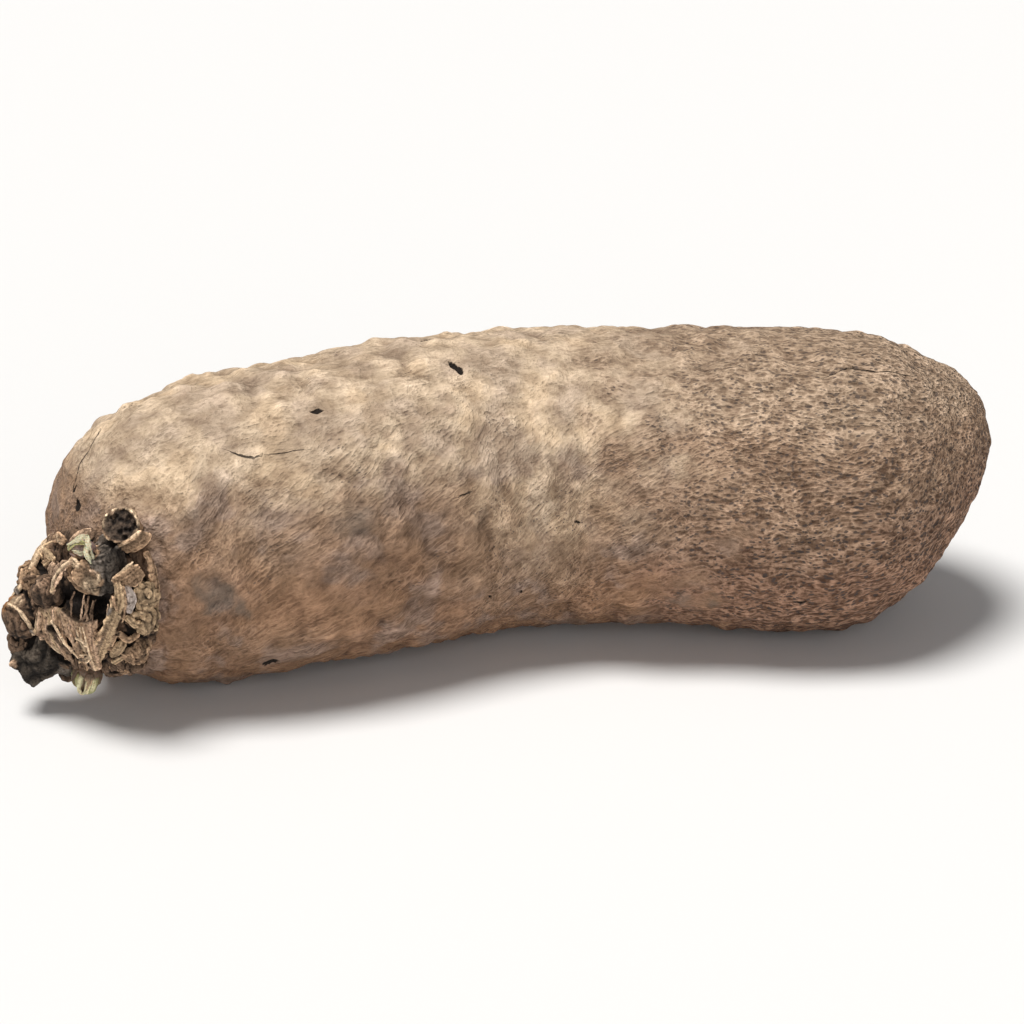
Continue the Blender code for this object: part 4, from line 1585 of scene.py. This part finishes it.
    def sheaths(self, clay: Clay) -> None:
        """The torn leaf bases and the bands of bark that wrap the stubs.

        Args:
            clay: what it is modelled in.
        """
        in_stub, in_side, in_base = (9.0, 20.0, -6.0), (7.0, 8.0, 3.0), (3.0, 9.0, 5.0)
        for paint, thick, hub, rag, curl, groove, streak, seed, places, widths in (
            (Paint.BARK, 0.45, in_stub, 0.1, 0.02, 0.15, 0.9, 31, ((13.0, 17.0, 0.5), (17.5, 19.5, -1.5),
             (19.8, 22.5, -3.5)), (2.6, 3.2, 2.4)),
            (Paint.CORK, 0.5, in_stub, 0.3, 0.0, 0.1, 0.6, 32, ((12.8, 18.8, 1.6), (16.0, 21.0, 0.2),
             (18.8, 23.6, -1.4)), (0.5, 0.6, 0.5)),
            (Paint.BARK, 0.5, in_side, 0.12, 0.02, 0.2, 0.8, 33, ((14.6, 8.8, 8.0), (18.2, 10.5, 6.0),
             (20.0, 12.0, 2.0)), (2.6, 3.4, 2.8)),
            (Paint.CORK, 0.5, in_side, 0.3, 0.0, 0.1, 0.6, 34, ((13.6, 10.4, 8.8), (16.8, 13.4, 6.6),
             (18.8, 15.4, 3.4)), (0.45, 0.6, 0.45)),
            (Paint.PINK, 0.45, in_base, 0.2, 0.0, 0.2, 0.8, 35, ((-8.6, 2.4, 13.6), (-5.8, 8.4, 14.0),
             (-2.6, 13.0, 13.4), (0.6, 15.8, 11.8)), (1.6, 2.4, 2.2, 1.0)),
            (Paint.CORK, 0.55, in_base, 0.3, 0.0, 0.1, 0.6, 36, ((-7.9, 3.2, 14.8), (-4.9, 9.1, 15.3),
             (-2.2, 13.4, 14.6), (0.2, 15.8, 12.8)), (0.7, 0.6, 0.55, 0.4)),
            (Paint.OCHRE, 0.6, (2.0, -6.0, -6.0), 0.25, 0.04, 0.25, 0.7, 37, ((15.8, 9.6, 9.0), (17.2, 5.4, 10.6),
             (15.4, -0.3, 11.8), (10.8, -8.3, 12.0), (5.5, -16.9, 11.2), (1.4, -24.1, 10.2)),
             (1.2, 1.8, 2.3, 2.5, 2.2, 1.2)),
            (Paint.BARK, 0.55, (4.0, -6.0, -6.0), 0.35, 0.0, 0.2, 0.6, 52, ((17.3, 8.6, 8.2), (18.0, 4.4, 9.4),
             (16.8, -1.3, 10.6), (12.6, -9.3, 10.8), (7.5, -17.4, 10.0)), (0.5, 0.7, 0.9, 0.8, 0.5)),
            (Paint.PINK, 0.5, (0.0, -6.0, -6.0), 0.35, 0.0, 0.2, 0.6, 53, ((13.2, 2.6, 11.6), (12.0, -3.4, 12.4),
             (8.6, -10.3, 12.6), (4.5, -17.9, 11.6)), (0.5, 0.8, 0.7, 0.4)),
            (Paint.LILAC, 0.6, (8.0, 0.0, -4.0), 0.1, 0.0, 0.04, 0.8, 38, ((17.7, 7.6, 6.5), (19.1, 3.7, 7.3),
             (18.3, -0.2, 8.6)), (1.1, 1.6, 1.1)),
            (Paint.OCHRE, 0.7, (12.0, 0.0, 0.0), 0.2, 0.0, 0.2, 0.8, 39, ((17.2, 4.7, 4.0), (19.8, 3.8, 3.0),
             (20.6, -0.1, 2.5), (19.8, -2.2, 4.4), (18.5, -2.6, 7.0)), (0.9, 1.1, 1.2, 1.1, 0.7)),
            (Paint.OCHRE, 0.8, (12.0, -4.0, 0.0), 0.2, 0.0, 0.2, 0.8, 40, ((17.3, -2.8, 8.8), (18.2, -6.1, 7.0),
             (18.8, -7.0, 4.0), (19.3, -4.3, 2.0)), (0.9, 1.3, 1.2, 0.9)),
            (Paint.BARK, 0.8, (10.0, -8.0, 0.0), 0.2, 0.0, 0.2, 0.8, 41, ((13.3, -9.9, 9.4), (14.7, -12.7, 8.0),
             (16.0, -12.3, 5.0)), (1.0, 1.4, 1.1)),
            (Paint.OCHRE, 1.3, (6.0, -14.0, 0.0), 0.1, 0.0, 0.1, 0.8, 42, ((12.0, -15.0, 8.4), (9.5, -18.0, 8.2),
             (6.0, -21.5, 7.4)), (1.6, 2.0, 1.3)),
            (Paint.OCHRE, 0.9, (6.0, -16.0, 0.0), 0.2, 0.0, 0.2, 0.8, 43, ((13.8, -17.2, 4.4), (9.7, -21.4, 5.6),
             (4.8, -25.4, 6.4)), (1.1, 1.5, 1.2)),
            (Paint.BARK, 0.9, (4.0, -20.0, -2.0), 0.2, 0.0, 0.2, 0.8, 44, ((11.2, -23.0, 3.0), (6.5, -27.5, 4.0),
             (1.9, -29.4, 5.0)), (1.1, 1.6, 1.2)),
            (Paint.BARK, 0.6, (0.0, -8.0, -8.0), 0.4, 0.0, 0.3, 0.9, 45, ((18.7, 14.6, -3.5), (20.0, 8.9, -3.0),
             (20.1, 1.6, -2.5), (18.5, -6.0, -1.5), (16.1, -13.9, -0.8), (12.3, -21.8, -0.2), (8.5, -28.0, 0.8),
             (1.9, -33.1, 1.8)), (1.0, 1.3, 1.5, 1.4, 1.3, 1.4, 1.3, 0.8)),
            (Paint.CORK, 0.9, (-14.0, 0.0, -6.0), 0.2, 0.0, 0.25, 0.8, 46, ((-20.0, 10.7, -1.6), (-23.3, 6.5, 1.4),
             (-26.3, 0.2, 4.4), (-28.6, -4.8, 7.4), (-31.4, -9.1, 9.4)), (1.4, 1.8, 2.0, 1.7, 1.0)),
            (Paint.CORK, 0.5, (-26.0, -14.0, 8.0), 0.3, 0.0, 0.1, 0.6, 47, ((-28.2, -7.4, 15.6), (-24.4, -6.6, 16.8),
             (-21.9, -7.4, 17.0), (-19.3, -10.9, 17.0), (-19.4, -16.4, 15.6)), (0.5, 0.6, 0.7, 0.7, 0.6)),
            (Paint.PINK, 0.5, (2.0, 10.0, -4.0), 0.2, 0.0, 0.15, 0.8, 48, ((-4.6, 17.2, 5.4), (-1.6, 19.6, 3.6),
             (1.2, 21.0, 1.6)), (1.4, 1.8, 1.0)),
            (Paint.BARK, 0.6, (-10.0, 6.0, -6.0), 0.2, 0.0, 0.2, 0.8, 49, ((-16.3, 12.6, 1.4), (-13.0, 14.6, 2.4),
             (-9.0, 15.4, 4.2)), (1.3, 1.7, 1.2)),
            (Paint.OCHRE, 0.6, (-14.0, 4.0, -6.0), 0.2, 0.0, 0.2, 0.8, 50, ((-18.7, 9.1, 4.2), (-15.0, 9.6, 6.0),
             (-11.5, 10.0, 7.6)), (1.0, 1.4, 1.0)),
            (Paint.PINK, 0.6, (-12.0, 4.0, 0.0), 0.2, 0.0, 0.2, 0.8, 51, ((-13.0, 4.0, 8.6), (-11.0, 6.6, 10.2),
             (-8.8, 10.6, 10.6)), (1.2, 1.8, 1.2)),
        ):
            clay.add(Ribbon(places, widths, thick, hub, rag, curl, groove, streak, seed), paint, 0.3)

    def fan(self, clay: Clay) -> None:
        """The torn, fibrous sheet that hangs from under the knobs to the foot of the crown.

        Args:
            clay: what it is modelled in.
        """
        pick, strips, hub = picker(61), 15, (-4.0, -12.0, -4.0)
        for i in range(strips):
            share = i / (strips - 1.0)
            start = (-17.5 + 22.5 * share, -8.0 + 7.0 * share - 3.0 * (share > 0.6), 12.2 + 1.2 * math.sin(3 * share))
            low_edge = (-17.5 + 17.0 * share**0.7, -18.5 - 10.0 * share**0.6, 14.2 - 4.6 * share)
            end = low_edge if share < 0.5 else (-1.5 + 2.6 * share, -27.0 + 1.5 * share, 10.4)
            jut = pick(-1.2, 0.8)
            last = (end[0] + 0.4 * jut, end[1] + jut, end[2])
            mid = tuple(0.5 * a + 0.5 * b for a, b in zip(start, last))
            mid = (mid[0], mid[1], mid[2] + 1.6 + pick(-0.3, 0.3))
            width = pick(1.5, 2.2)
            paint = (Paint.PINK, Paint.BARK, Paint.PINK, Paint.OCHRE)[i % 4]
            strip = Ribbon(
                (start, mid, last), (width, width * 1.1, width * 0.6), 0.6, hub, 0.25, 0.0, 0.22, 0.7, 70 + i
            )
            clay.add(strip, paint, 0.9, 0.6)
        for i in range(16):
            share = pick(0.0, 1.0)
            start = (-17.0 + 22.0 * share, -9.5 + 6.0 * share, 16.0 + math.sin(3 * share))
            end = (-8.0 + 9.0 * share, -22.0 - 5.0 * share + pick(-1.5, 2.0), 13.6 - 2.4 * share)
            bow = pick(-0.8, 0.8)
            mid = ((start[0] + end[0]) / 2 + bow, (start[1] + end[1]) / 2, (start[2] + end[2]) / 2 + 1.1)
            fibre = Ribbon((start, mid, end), (0.28, 0.38, 0.24), 0.38, hub, 0.3, seed=40 + i)
            # Every third fibre is cut as a groove, with painted shade on its walls.
            if i % 3 == 2:
                clay.cut(fibre, Paint.PAINTED_SHADE)
            else:
                clay.add(fibre, (Paint.CORK, Paint.PINK)[i % 3], 0.25)

    def chips(self, clay: Clay) -> None:
        """Loose scales and fibres of bark, scattered over all that is there.

        Args:
            clay: what it is modelled in.
        """
        draw = np.random.default_rng(131)
        paints = (Paint.BARK, Paint.CORK, Paint.UMBER, Paint.PINK, Paint.BARK, Paint.OCHRE, Paint.SLATE)
        for i in range(self.chip_count):
            look = unit((draw.uniform(-0.9, 0.6), draw.uniform(-0.6, 1.0), 1.0))
            middle = np.array((draw.uniform(-37.0, 22.0), draw.uniform(-39.0, 27.0), 6.0))
            around = unit(np.cross(look, middle - np.array((-5.0, -8.0, 6.0))))
            turn = draw.normal(0.0, 0.7)
            way = spoke(turn, around, np.cross(look, around))
            length, width, lift = draw.uniform(2.0, 5.5), draw.uniform(0.4, 1.6), draw.uniform(0.0, 0.7)
            stops = [clay.landing(middle + look * 40.0 + way * length * share, -look) for share in (-0.5, 0.0, 0.5)]
            if any(stop is None for stop in stops):
                continue
            steps = [float(np.linalg.norm(b - a)) for a, b in zip(stops, stops[1:])]
            clear = all(np.linalg.norm(stops[1] - np.array(spot[:3])) > spot[3] for spot in self.kept_clear)
            if max(steps) > length * 0.75 or not clear:
                continue
            stops[2] = stops[2] + look * lift
            places, widths = tuple(tuple(stop) for stop in stops), (width * 0.6, width, width * 0.5)
            scale = Ribbon(places, widths, 0.38, tuple(stops[1] - look * 12.0), 0.35, 0.03, 0.2, 0.6, 200 + i)
            clay.add(scale, paints[i % len(paints)], 0.25, 0.5)

    def hollows(self, clay: Clay) -> None:
        """The hollow under the broad stem base and the cracks between the torn parts, cut in, with painted shade on
        their walls and on the hollow's back wall.

        Args:
            clay: what it is modelled in.
        """
        clay.cut(Knob((1.2, -1.6, 13.5), (8.2, 4.4, 11.0), ribs=11, rib_depth=0.6, seed=81), Paint.PAINTED_SHADE)
        clay.stain(Knob((0.5, -2.6, 7.5), (11.0, 6.5, 6.0)), Paint.PAINTED_SHADE, 1.5)
        clay.cut(Knob((-10.0, -12.0, 16.5), (2.8, 1.7, 3.5)), Paint.PAINTED_SHADE)
        for places, widths in (
            (((1.5, 22.5, 1.0), (6.5, 21.5, 2.0), (11.0, 18.6, 2.6), (15.0, 15.0, 3.4)), (0.6, 0.8, 0.8, 0.6)),
            (((5.4, 17.0, 12.0), (8.0, 12.2, 12.6), (11.5, 8.6, 11.6), (14.6, 7.6, 10.0)), (0.6, 0.8, 0.8, 0.5)),
            (((17.0, 6.6, 9.4), (17.2, 2.6, 10.2), (15.6, -4.0, 10.6), (13.2, -9.2, 10.4)), (0.4, 0.6, 0.8, 0.6)),
            (((4.8, -23.7, 7.6), (9.7, -20.0, 7.0), (13.4, -16.4, 5.4)), (0.5, 0.6, 0.5)),
            (((-20.7, 6.2, 5.0), (-20.8, 3.0, 7.0), (-19.9, -1.0, 9.0)), (0.7, 1.0, 0.7)),
            (((-21.6, -5.0, 14.0), (-19.4, -7.0, 15.0), (-17.4, -9.6, 15.4)), (0.6, 0.9, 0.6)),
            (((1.9, -31.0, 5.4), (6.8, -29.6, 3.6), (10.6, -26.0, 2.4)), (0.7, 1.2, 0.7)),
            (((5.3, 16.4, 11.0), (10.1, 14.9, 12.0), (13.6, 12.4, 11.5)), (0.7, 1.0, 0.6)),
            (((9.5, 23.0, 4.5), (14.0, 22.0, 4.5), (19.1, 20.5, 3.5)), (0.6, 0.9, 0.6)),
            (((-11.3, 1.5, 15.0), (-8.2, 0.1, 15.0), (-5.0, -0.5, 14.5)), (0.6, 1.0, 0.8)),
            (((-29.3, -20.1, 17.5), (-24.2, -19.3, 17.0), (-17.5, -19.6, 14.5)), (0.6, 0.9, 0.8)),
            (((-15.0, -19.0, 14.0), (-14.0, -24.0, 12.5), (-12.4, -28.0, 10.5)), (0.8, 1.5, 1.0)),
            (((5.6, -20.1, 8.5), (9.4, -18.0, 7.5), (13.2, -15.8, 6.0)), (0.4, 0.7, 0.5)),
        ):
            clay.cut(Ribbon(places, widths, 2.0, rag=0.4, groove=0.0, seed=int(places[0][0] * 3) % 50), Paint.PAINTED_SHADE)

    def fibres(self, clay: Clay) -> None:
        """Dry fibres that cross the hollow and fray from its walls.

        Args:
            clay: what it is modelled in.
        """
        pick = picker(91)
        for i in range(6):
            across = pick(-5.0, 7.0)
            top = (across, pick(0.5, 3.0), pick(9.0, 11.5))
            foot = (across + pick(-2.5, 2.5), pick(-8.5, -5.0), pick(12.0, 14.0))
            mid = tuple((a + b) / 2 + pick(-1.0, 1.0) for a, b in zip(top, foot))
            fibre = Ribbon((top, mid, foot), (0.30, 0.40, 0.30), 0.35, rag=0.3, seed=100 + i)
            clay.add(fibre, (Paint.UMBER, Paint.PINK, Paint.UMBER)[i % 3], 0.3)

    def build(self, shift: np.ndarray, skin: bpy.types.Object) -> list[bpy.types.Object]:
        """Model the crown, as its pad and all that grows from it, and mesh both.

        Args:
            shift: from the tuber's own frame to the part's.
            skin: the tuber's skin, which it grows from.

        Returns:
            The two objects.
        """
        place = self.frame(shift)
        pad, bark = (Clay(self.low, self.high, self.cell) for _ in range(2))
        self.body(pad)
        self.roughen(pad, 1.0)
        bark.beside = pad.field
        self.stubs(bark)
        self.roughen(bark, 0.5)
        for step in (self.fan, self.sheaths, self.chips):
            step(bark)
        self.hollows(pad)
        self.hollows(bark)
        self.fibres(bark)
        bark.field = np.maximum(bark.field, -1.2 - pad.field)
        pad.beside = bark.field
        for clay in (pad, bark):
            self.rooted(clay, place, skin)
        return [
            clay.meshed(name, place, self.look_round).made(Slot.BARK, "crown")
            for clay, name in ((pad, "crown_pad"), (bark, "crown_bark"))
        ]

    def roughen(self, clay: Clay, amount: float) -> None:
        """Crack and crumple the clay, as much as the amount says.

        Args:
            clay: what is cracked.
            amount: how strongly.
        """
        for depth, pitch, seed, wide in self.nets:
            clay.crackle(depth * amount, pitch, seed, wide)
        lumps = sum(height * clay.cloud(pitch, seed) for height, pitch, seed in self.swellings)
        clay.field += (amount * lumps).astype(np.float32)

    def rooted(self, clay: Clay, place: Matrix, skin: bpy.types.Object) -> None:
        """Add a little grit, and cut away what would lie deep inside the tuber.

        Args:
            clay: the crown's clay.
            place: from the crown's millimetres to the part's metres.
            skin: the tuber's skin.
        """
        clay.field += self.grit_height * clay.cloud((self.grit_pitch,) * 3, 25)
        tree = BVHTree.FromPolygons([v.co for v in skin.data.vertices], [f.vertices for f in skin.data.polygons])
        pitch = 2.0
        counts = [int((b - a) / pitch) + 3 for a, b in zip(self.low, self.high)]
        depth = np.zeros(counts)
        for index in np.ndindex(*counts):
            point = place @ (Vector(self.low) + Vector(index) * pitch)
            nearest, normal, _, _ = tree.find_nearest(point)
            depth[index] = (point - nearest).dot(normal) / MM
        clay.field = np.maximum(clay.field, -self.root_depth - clay.spread(depth, (pitch,) * 3)).astype(np.float32)


@dataclass(frozen=True)
class BudFinish:
    """A bud's fresh, waxy scales: its paint, with fine veins, painted shade in its seams and hollows, and painted
    highlights on its edges.
    """

    seam: Triple = (0.10, 0.060, 0.025)
    shade_and_dark_tone: Triple = (0.50, 0.40, 0.26)
    highlight_and_light_tone: Triple = (1.35, 1.35, 1.40)
    tone_and_highlight: Triple = (1.4, 1.4, 1.45)

    def made(self) -> bpy.types.Material:
        """Make the material.

        Returns:
            The material.
        """
        b = Bench("bud_scales")
        block = b.vector("block")
        crease, hollow = b.number("crease"), b.number("hollow")
        fine = b.noise(block, 0.5)
        color = b.toned(
            b.color("paint"),
            (b.rise(fine, 0.50, 0.70) * 0.75, self.shade_and_dark_tone),
            (b.rise(fine, 0.46, 0.30) * 0.40, self.highlight_and_light_tone),
        )
        # Painted shade in the creases and hollows, and painted highlight on the edges.
        color = b.mix(b.rise(crease, -0.005, -0.06) * 0.9, color, self.seam)
        color = b.toned(color, (b.rise(crease, 0.03, 0.12) * 0.45, self.tone_and_highlight))
        color = b.mix(b.rise(hollow, 0.62, 0.80) * 0.7, color, self.seam)
        return b.finish(color, 0.5, fine * 0.3, Specular_IOR_Level=0.4, Subsurface_Weight=0.15, Subsurface_Scale=0.002)


@dataclass
class Buds:
    """The live bud under the crown and the torn one on top of it, in the crown's frame."""

    cell: float = 0.22

    def shoot(self) -> Clay:
        """The pale green egg of overlapping scales, with its brown cap.

        Returns:
            The modelled clay.
        """
        clay = Clay((-17.0, -44.0, 0.0), (0.0, -24.0, 17.0), self.cell)
        top, tip = np.array((-6.6, -29.6, 6.3)), np.array((-9.6, -40.2, 8.9))
        middle, way = (top + tip) / 2, unit(tip - top)
        hub, axis, (first, second) = tuple(middle), tuple(way), ways_across(way)

        def seam(turn: float, *stops: tuple[float, float], lag: float = 0.0) -> tuple[Triple, ...]:
            """A line over the bud at a turn, through places given along its axis and out from it."""
            out_way = spoke(turn, first, second)
            return tuple(tuple(middle + way * (along + lag) + out_way * out) for along, out in stops)

        clay.add(Knob(hub, (4.0, 4.0, 5.6), axis, 17, 0.12, seed=3), Paint.GREEN, 0.3, 0.25)
        for i in range(7):
            turn = math.tau * i / 7.0 + 0.35 * math.sin(2.3 * i)
            stops = seam(turn, (-4.6, 2.6), (-2.0, 4.0), (1.0, 4.2), (3.2, 3.2), (4.6, 1.9), lag=0.6 * (i % 3))
            scale = Ribbon(stops, (2.0, 2.3, 2.0, 1.4, 0.4), 0.32, hub, 0.08, 0.05, 0.12, 0.7, 11 + i)
            clay.add(scale, (Paint.GREEN, Paint.STRAW, Paint.STRAW)[i % 3], 0.2, 0.3)
        # Grooves between the scales, cut in with umber walls: dark joints, partly painted shade.
        for i in range(7):
            stops = seam(math.tau * (i + 0.5) / 7.0 + 0.3 * math.sin(1.7 * i), (-2.2, 4.5), (1.2, 4.6), (4.0, 3.2))
            clay.cut(Ribbon(stops, (0.35, 0.45, 0.25), 0.5, hub, 0.4, seed=61 + i), Paint.UMBER, 0.2)
        # A pale pink patch at its tip: its own pink, with a painted highlight.
        clay.stain(Knob(tuple(middle + way * 5.4), (3.0, 3.0, 2.0), axis), Paint.BLUSH_AND_HIGHLIGHT, 1.5)
        cap = Knob(tuple(middle - way * 3.6 + second * 0.3), (4.5, 4.5, 2.6), axis, 13, 0.5, seed=8)
        clay.add(cap, Paint.UMBER, 0.3, 0.7)
        for i in range(5):
            scale = Ribbon(seam(1.3 * i, (-3.8, 4.2), (-1.4, 4.7), (1.4, 4.7)), (1.5, 1.1, 0.3), 0.3, hub,
                           0.3, 0.04, 0.15, 0.5, 31 + i)
            clay.add(scale, (Paint.UMBER, Paint.OCHRE)[i % 2], 0.2, 0.5)
        clay.stain(Knob(tuple(middle - way * 4.4), (6.0, 6.0, 3.0), axis), Paint.UMBER, 1.2, 0.5)
        clay.stain(Knob(tuple(middle - way * 1.0 + second * 4.2), (2.2, 2.2, 4.5), axis), Paint.ORANGE, 1.6, 0.6)
        return clay

    def torn(self) -> Clay:
        """The torn pale scales round a pink-grey bud.

        Returns:
            The modelled clay.
        """
        clay = Clay((-6.0, 9.0, 0.0), (14.0, 29.0, 16.0), self.cell)
        clay.add(Knob((2.4, 17.6, 6.6), (3.4, 3.0, 4.2), (0.1, 0.5, 0.85), 11, 0.25, seed=5), Paint.ROSE, 0.3, 0.4)
        hub = (3.0, 18.0, 2.0)
        for i, (paint, widths, stops) in enumerate((
            (Paint.SHADED_STRAW, (0.8, 1.0, 0.9, 0.3), ((5.4, 23.0, 7.0), (4.9, 24.0, 9.0), (2.7, 22.9, 10.0),
             (-0.8, 20.6, 10.6))),
            (Paint.GREEN, (0.6, 0.7, 0.6, 0.2), ((4.4, 21.5, 8.4), (2.2, 21.6, 9.6), (-0.6, 19.3, 10.2),
             (-1.6, 17.2, 9.8))),
            (Paint.SHADED_STRAW, (0.7, 0.8, 0.2), ((4.7, 18.6, 9.4), (3.1, 18.7, 10.5), (0.8, 19.5, 11.0))),
            (Paint.SHADED_STRAW, (0.7, 1.0, 0.8, 0.25), ((5.8, 23.6, 7.6), (7.2, 23.2, 9.2), (8.0, 22.2, 9.9),
             (8.7, 21.0, 10.2))),
            (Paint.SHADED_STRAW, (0.6, 0.9, 0.8, 0.3), ((5.6, 20.8, 8.6), (6.4, 19.4, 10.2), (7.3, 18.0, 10.6),
             (7.5, 16.1, 10.4))),
            (Paint.SHADED_STRAW, (0.6, 0.9, 0.3), ((6.6, 19.8, 8.6), (7.6, 18.4, 9.6), (8.2, 17.0, 9.6))),
            (Paint.ROSE, (0.8, 0.9, 0.3), ((1.0, 15.0, 7.6), (-0.4, 15.4, 9.0), (-1.4, 16.4, 9.6))),
        )):
            clay.add(Ribbon(stops, widths, 0.36, hub, 0.35, 0.06, 0.15, 0.5, 51 + i), paint, 0.2, 0.3)
        return clay

    def build(self, place: Matrix) -> list[bpy.types.Object]:
        """Mesh both buds.

        Args:
            place: from the crown's millimetres to the part's metres.

        Returns:
            The two objects.
        """
        shoot = self.shoot().meshed("shoot_bud_scales", place, 1.0).made(Slot.BUD, "shoot_bud")
        torn = self.torn().meshed("torn_bud_scales", place, 1.0).made(Slot.TORN, "torn_bud")
        return [shoot, torn]


def stand(thing: bpy.types.Object, place: Vector, back: Vector) -> None:
    """Set up a lamp or a camera.

    Args:
        thing: the lamp or the camera.
        place: where it stands.
        back: the way that it faces away from.
    """
    thing.location = place
    thing.rotation_mode = "QUATERNION"
    thing.rotation_quaternion = back.to_track_quat("Z", "Y")
    bpy.context.scene.collection.objects.link(thing)


@dataclass(frozen=True)
class Sun:
    """A large soft lamp far off: the way to it, how wide it looks in degrees, its strength and its colour."""

    name: str
    way: Triple
    spread: float
    strength: float
    tint: Triple

    def hang(self) -> None:
        """Light the part with it."""
        lamp = bpy.data.lights.new(self.name, "SUN")
        lamp.angle, lamp.energy, lamp.color = math.radians(self.spread), self.strength, self.tint
        stand(bpy.data.objects.new(self.name, lamp), Vector(self.way), Vector(self.way))


@dataclass
class Studio:
    """The plain floor, the soft lights and the camera at the photograph's angle."""

    azimuth: float = -9.0
    elevation: float = 25.0
    distance: float = 1.1
    lens: float = 116.0
    aim: Triple = (0.0031, -0.0092, 0.0485)
    floor_shade: float = 0.78
    floor_reach: float = 6.0
    room_light: float = 0.17
    suns: tuple[Sun, ...] = (
        Sun("overhead", (-0.25, -0.04, 0.95), 24.0, 3.4, (1.0, 0.98, 0.95)),
        Sun("front", (0.12, -0.92, 0.28), 60.0, 0.88, (0.97, 0.98, 1.0)),
    )

    def back(self) -> Vector:
        """The way from the object to the camera."""
        a, e = math.radians(self.azimuth), math.radians(self.elevation)
        return Vector((math.sin(a) * math.cos(e), -math.cos(a) * math.cos(e), math.sin(e)))

    def place_camera(self) -> None:
        """Put the camera where the photograph was taken from."""
        lens = bpy.data.cameras.new("camera")
        lens.lens = self.lens
        lens.sensor_width = 36.0
        lens.clip_start, lens.clip_end = 0.05, 50.0
        camera = bpy.data.objects.new("camera", lens)
        stand(camera, Vector(self.aim) + self.back() * self.distance, self.back())
        bpy.context.scene.camera = camera

    def lay_floor(self) -> None:
        """Put a plain pale floor under the part."""
        half = self.floor_reach
        corners = [(-half, -half, 0.0), (half, -half, 0.0), (half, half, 0.0), (-half, half, 0.0)]
        mesh = bpy.data.meshes.new("floor")
        mesh.from_pydata(corners, [], [(0, 1, 2, 3)])
        b = Bench("pale_floor")
        b.feed(b.shader.inputs["Base Color"], (self.floor_shade,) * 3)
        b.feed(b.shader.inputs["Roughness"], 0.9)
        mesh.materials.append(b.material)
        floor = bpy.data.objects.new("floor", mesh)
        bpy.context.scene.collection.objects.link(floor)

    def build(self) -> None:
        """Set up the whole studio."""
        self.place_camera()
        self.lay_floor()
        for sun in self.suns:
            sun.hang()
        world = bpy.data.worlds.new("soft_room")
        world.use_nodes = True
        glow = world.node_tree.nodes["Background"].inputs
        glow["Color"].default_value, glow["Strength"].default_value = (1.0, 1.0, 1.0, 1.0), self.room_light
        bpy.context.scene.world = world
        bpy.context.scene.view_settings.view_transform = "Standard"


def dressed(thing: bpy.types.Object, material: bpy.types.Material) -> None:
    """Give an object its one material."""
    thing.data.materials.clear()
    thing.data.materials.append(material)


def main() -> None:
    """Build the studio, then the tuber, its crown and its buds."""
    logging.basicConfig(level=logging.INFO, format="%(name)s: %(message)s")
    Studio().build()
    skin, shift = Tuber().build()
    dressed(skin, SkinFinish().made())
    crown = Crown()
    bark = BarkFinish().made()
    for piece in crown.build(shift, skin):
        dressed(piece, bark)
    scales = BudFinish().made()
    for piece in Buds().build(crown.frame(shift)):
        dressed(piece, scales)


if __name__ == "__main__":
    main()
